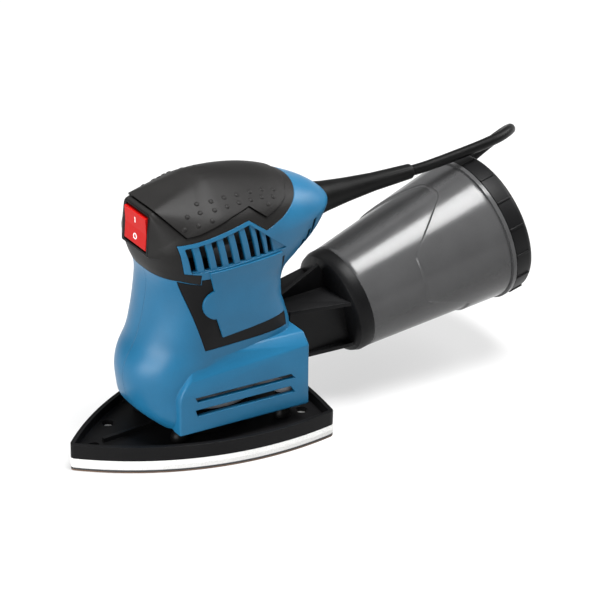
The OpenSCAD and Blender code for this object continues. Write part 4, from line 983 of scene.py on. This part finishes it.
# %% [markdown]
# The pad is a second skin, one millimetre thick, and its outline is notched on each flank where thumb and
# fingers lie. A groove in the shell runs round it, so that its edge reads as a dark line with a lit lip.

# %% Pad and its groove
PAD = [
    (-40, 156.6), (-28, 142.8), (-21.3, 144), (-13.1, 146.3), (-1.1, 149.4), (12.4, 151.4), (21.6, 144.2),
    (32.8, 147), (39.1, 148.9), (42.6, 151.5), (46, 153.2), (48, 154.4), (50, 190), (-40, 190),
]
PAD_TOP, PAD_BED = 1.0, 0.05
GROOVE_TOP, GROOVE_FLOOR = 0.5, -0.9
GROOVE_OUT, GROOVE_IN = 0.7, -0.25


def grip_between(high, low, outline):
    band = raw("band", grip_form(high))
    cut(band, grip_form(low))
    cut(band, prism(outline, -FAR, FAR), "INTERSECT")
    return band


groove = grip_between(GROOVE_TOP, GROOVE_FLOOR, grown(PAD, GROOVE_OUT))
cut(groove, prism(grown(PAD, GROOVE_IN), -FAR, FAR))
cut(shell, bm_of(groove))
keep(shell, "grip_rubber", ["grip_shell"])
pad = grip_between(PAD_TOP, PAD_BED, PAD)
cut(pad, chamfered(OPENING, OPENING_HALF))
print("pad", len(pad.data.polygons), "faces")

# %% [markdown]
# Small studs stand in rows over the fingers' place. Each is a flattened sphere that lies along the skin: a
# ray shot sideways finds the place and the slope.

# %% Finger studs
STUDS = [
    (-28, 146.6), (-20.5, 148), (-12.5, 149.6), (24.8, 149.4), (-24, 152), (-16.5, 153), (-8.5, 153.4),
    (-0.5, 153.6), (7.5, 153.6), (15.5, 153.2), (23, 152.6), (30.5, 151), (-15.8, 156.2), (-7.9, 156.6),
    (0.5, 156.8), (8.8, 156.4), (17.5, 155.8), (25.8, 154.8), (33.5, 152.9),
]
STUD_RADIUS, STUD_FLAT = 1.3, 0.32
skin = BVHTree.FromBMesh(grip_form(PAD_TOP))
bm = bm_of(pad)
for x, z in STUDS:
    for side in (-1, 1):
        spot, normal, _, _ = skin.ray_cast(Vector((x * MM, side * 0.1, z * MM)), Vector((0, -side, 0)))
        stud = bmesh.ops.create_icosphere(bm, subdivisions=3, radius=STUD_RADIUS * MM)["verts"]
        bmesh.ops.scale(bm, vec=(1, 1, STUD_FLAT), verts=stud)
        bmesh.ops.transform(bm, matrix=lying(spot, normal), verts=stud)
keep(raw("grip_pad_fine", bm), "grip_rubber", ["grip_pad"])

# %% [markdown]
# ## Switch frame
# The frame is a thin box with a window for the rocker. It lies inside the rim of the cap, so only its front
# edge shows as a line around the red.

# %% Switch frame
WINDOW = ((-60, -11.4, 129.6), (-20, 11.4, 151.8))
surround = raw("switch_frame_fine", chamfered(FRAME, FRAME_HALF))
cut(surround, block(*WINDOW))
keep(surround, "black_plastic", ["switch_frame"], 0.25)

# %% [markdown]
# ## Side inlays and their plates
# A black inlay lies flush in each flank, and a plain blue plate with a round lobe in front stands a little
# proud of it. Both have the same curved skin as the body, so that light runs across them without a break.

# %% Flanks
PLATE = [(-7, 77), (37, 79.5), (32, 119.8), (-16, 119.8)]
LOBE_X, LOBE_Z, LOBE_RADIUS = -10.5, 99, 9
INLAY_THICK, PLATE_PROUD = 1.2, 1.2
lobe = []
for degrees in range(105, 271, 8):
    angle = math.radians(degrees)
    lobe.append((LOBE_X + LOBE_RADIUS * math.cos(angle), LOBE_Z + LOBE_RADIUS * math.sin(angle)))
for side, hand in ((-1, "left"), (1, "right")):
    inlay = raw("side_inlay_" + hand + "_fine", skin_between(0, INLAY_THICK, grown(INLAY, -0.1), side))
    keep(inlay, "black_plastic", ["side_inlay_" + hand])
    plate = raw("label_plate_" + hand + "_fine", skin_between(-PLATE_PROUD, -0.05, [*PLATE, *lobe], side))
    keep(plate, "blue_plastic", ["label_plate_" + hand])

# %% [markdown]
# ## Dust box
# The canister flares towards its lid, and its rear part is raised a little. The step between the two parts
# runs up and down round the wall, so it is drawn as a line: how far along the axis it lies at each angle.
# The rings of the mesh are bent so that one of them runs along that line.

# %% The canister's wall and its step
CAN_RADIUS, CAN_FLARE, CAN_LENGTH, CAN_RIM = 32, 11, 96, 93
STEP_RING = 52
STEP_LINE = [(0, 66), (58, 66.2), (82, 35.8), (131, 37.3), (168, 72.5), (180, 73)]


def outer(s):
    return CAN_RADIUS + CAN_FLARE * s / CAN_LENGTH


def step_line(angle):
    low, high = next((a, b) for a, b in zip(STEP_LINE, STEP_LINE[1:]) if a[0] <= angle <= b[0])
    return low[1] + (high[1] - low[1]) * (angle - low[0]) / (high[0] - low[0])


def bent_along(s, angle):
    edge = sum(step_line(min(max(angle + k, 0), 180)) for k in (-4, -2, 0, 2, 4)) / 5
    return s + (edge - STEP_RING) * min(s / STEP_RING, (CAN_RIM - s) / (CAN_RIM - STEP_RING))


print("canister", 2 * outer(0), "mm in front,", 2 * outer(CAN_LENGTH), "mm behind")

# %% [markdown]
# The canister is turned about its own axis, so a profile is spun, with close rings where the step will be.
# The dust box leans back twelve degrees, so the spun piece is turned and moved into place at the end.

# %% Canister
BOX_SEAT, BOX_LEAN = (98, 0, 56.9), 12
RIM_RADIUS, CAN_WALL = 45, 2
STEP_WIDTH, STEP_TALL = 2, 1.1
in_place = Matrix.Translation(Vector(BOX_SEAT) * MM) @ Matrix.Rotation(math.radians(90 - BOX_LEAN), 4, "Y")


def spun(profile, steps):
    bm = bmesh.new()
    verts, edges = outlined(bm, [(r, 0, s) for r, s in profile])
    revolved(bm, verts, edges, steps)
    bmesh.ops.remove_doubles(bm, verts=bm.verts, dist=1e-6)
    return bm


rings = [*range(2, 50), *[50 + k / 4 for k in range(17)], *range(55, CAN_RIM)]
profile = [(outer(0) - CAN_WALL, 0), (outer(0) - 0.5, 0), (outer(0), 0.6)]
profile += [(outer(s), s) for s in rings]
profile += [(outer(CAN_RIM) + 0.9, CAN_RIM + 0.4), (RIM_RADIUS, CAN_RIM + 0.6), (RIM_RADIUS, CAN_LENGTH)]
profile.append((outer(CAN_LENGTH) - CAN_WALL, CAN_LENGTH))
bm = spun(profile, 180)
for vert in bm.verts:
    s, r = vert.co.z / MM, math.hypot(vert.co.x, vert.co.y) / MM
    if 0.5 < s < CAN_RIM and r > outer(s) - 1:
        bent = bent_along(s, abs(math.degrees(math.atan2(vert.co.y, vert.co.x))))
        t = min(max((s - STEP_RING) / STEP_WIDTH + 0.5, 0), 1)
        grow = (outer(bent) + STEP_TALL * t * t * (3 - 2 * t)) / r
        vert.co = (vert.co.x * grow, vert.co.y * grow, bent * MM)
bmesh.ops.transform(bm, matrix=in_place, verts=bm.verts)
keep(raw("dust_canister_fine", bm), "smoke_plastic", ["dust_canister"])

# %% [markdown]
# The lid is spun too. It is twisted off by hand, so grip ribs stand round its edge: rounded blocks, each
# turned to its place.

# %% Lid
LID = [
    (37.5, 87.5), (39.5, 87.5), (39.5, 96.3), (44.2, 96.3), (44.7, 96.8), (44.7, 105.3), (44.4, 106.8),
    (43.5, 108.1), (42.2, 109), (40.7, 109.3), (36, 109.3), (35.4, 108.7), (0, 108.7), (0, 106.9),
    (37.5, 106.9),
]
RIBS, RIB_SIZE, RIB_PLACE, RIB_EDGE = 16, (1.8, 1.2, 9.6), (44.55, 0, 101.2), 0.35
bm = spun(LID, 160)
for k in range(RIBS):
    rib = bmesh.ops.create_cube(bm, size=1)["verts"]
    bmesh.ops.scale(bm, vec=Vector(RIB_SIZE) * MM, verts=rib)
    bmesh.ops.translate(bm, vec=Vector(RIB_PLACE) * MM, verts=rib)
    rounded = [e for e in bm.edges if e.verts[0] in rib and e.verts[1] in rib]
    turned(bm, rib, 360 * k / RIBS, "Z")
    eased(bm, rounded, RIB_EDGE)
bmesh.ops.transform(bm, matrix=in_place, verts=bm.verts)
keep(raw("box_lid_fine", bm), "black_plastic", ["box_lid"])

# %% [markdown]
# ## The foam under the plate
# The foam layer is soft, so its edge bulges a little between the plate and the sheet. The layer is cut in
# the middle of its height and the new edge is pushed out. The hook layer and the sheet below it stay flat.

# %% Foam, hooks and sheet
BULGE = 0.35


def bulged(node, out):
    bm = copied(node)
    low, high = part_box(node)
    middle = (low.z + high.z) / 2
    everything = [*bm.verts, *bm.edges, *bm.faces]
    bmesh.ops.bisect_plane(bm, geom=everything, plane_co=(0, 0, middle), plane_no=(0, 0, 1))
    bm.normal_update()
    pushed = {v: v.normal.copy() for v in bm.verts if abs(v.co.z - middle) < 1e-6}
    for vert, normal in pushed.items():
        vert.co += Vector((normal.x, normal.y, 0)) * out * MM
    return bm


foam = keep(raw("foam_pad_fine", bulged("foam_pad", BULGE)), "foam", ["foam_pad"], 0.25)
keep(raw("hook_layer_fine", copied("hook_layer")), "textile", ["hook_layer"], 0.1)
keep(raw("sanding_sheet_fine", copied("sanding_sheet")), "abrasive", ["sanding_sheet"], 0.1)

# %% [markdown]
# ## Floor and light
# A pale glowing table fills the picture, which keeps shadows faint. It is one large face with its own faint
# light, so that it stays pale to the edge of the picture.

# %% Floor
WHITE = (1, 1, 1, 1)
FLOOR_DARK, FLOOR_LIGHT, FLOOR_GLOW = (0.20, 0.20, 0.20, 1), (0.22, 0.22, 0.22, 1), 0.60


def table(p):
    return {
        "Base Color": p.noise(3.0).mix(FLOOR_DARK, FLOOR_LIGHT),
        "Roughness": 0.8,
        "Emission Color": WHITE,
        "Emission Strength": FLOOR_GLOW,
    }


bm = bmesh.new()
bmesh.ops.create_grid(bm, x_segments=1, y_segments=1, size=12)
floor = raw("floor", bm)
floor.data.materials.append(material("floor", table))
print("floor", len(floor.data.polygons), "face")

# %% [markdown]
# One soft light hangs over the table, a little towards the camera, where it draws the long gleam on the
# dust box. Weaker panels stand behind, to the left and to the right, as for a catalogue picture.

# %% Lamps and room
ROOM_LIGHT = 0.3


def softbox(name, place, target, size, power):
    lamp = bpy.data.objects.new(name, bpy.data.lights.new(name, "AREA"))
    lamp.data.shape = "RECTANGLE"
    lamp.data.size, lamp.data.size_y = size
    lamp.data.energy = power
    lamp.location = place
    lamp.rotation_mode = "QUATERNION"
    lamp.rotation_quaternion = (Vector(target) - Vector(place)).to_track_quat("-Z", "Y")
    bpy.context.scene.collection.objects.link(lamp)
    return lamp


lamps = [
    softbox("sky", (0.27, -0.26, 1.56), (0.08, 0, 0.05), (0.66, 0.66), 50),
    softbox("back", (-0.3, 1.0, 1.3), (0.03, 0, 0.0), (1.2, 1.2), 6),
    softbox("left", (-1.3, -0.3, 0.36), (0.0, 0, 0.1), (1.2, 0.7), 27),
    softbox("right", (1.25, -0.1, 0.8), (0.05, 0, 0.1), (0.8, 0.6), 12),
]
world = bpy.data.worlds.new("studio")
world.use_nodes = True
world.node_tree.nodes["Background"].inputs["Color"].default_value = WHITE
world.node_tree.nodes["Background"].inputs["Strength"].default_value = ROOM_LIGHT
bpy.context.scene.world = world
bpy.context.scene.view_settings.view_transform = "Standard"
print(len(lamps), "lamps")
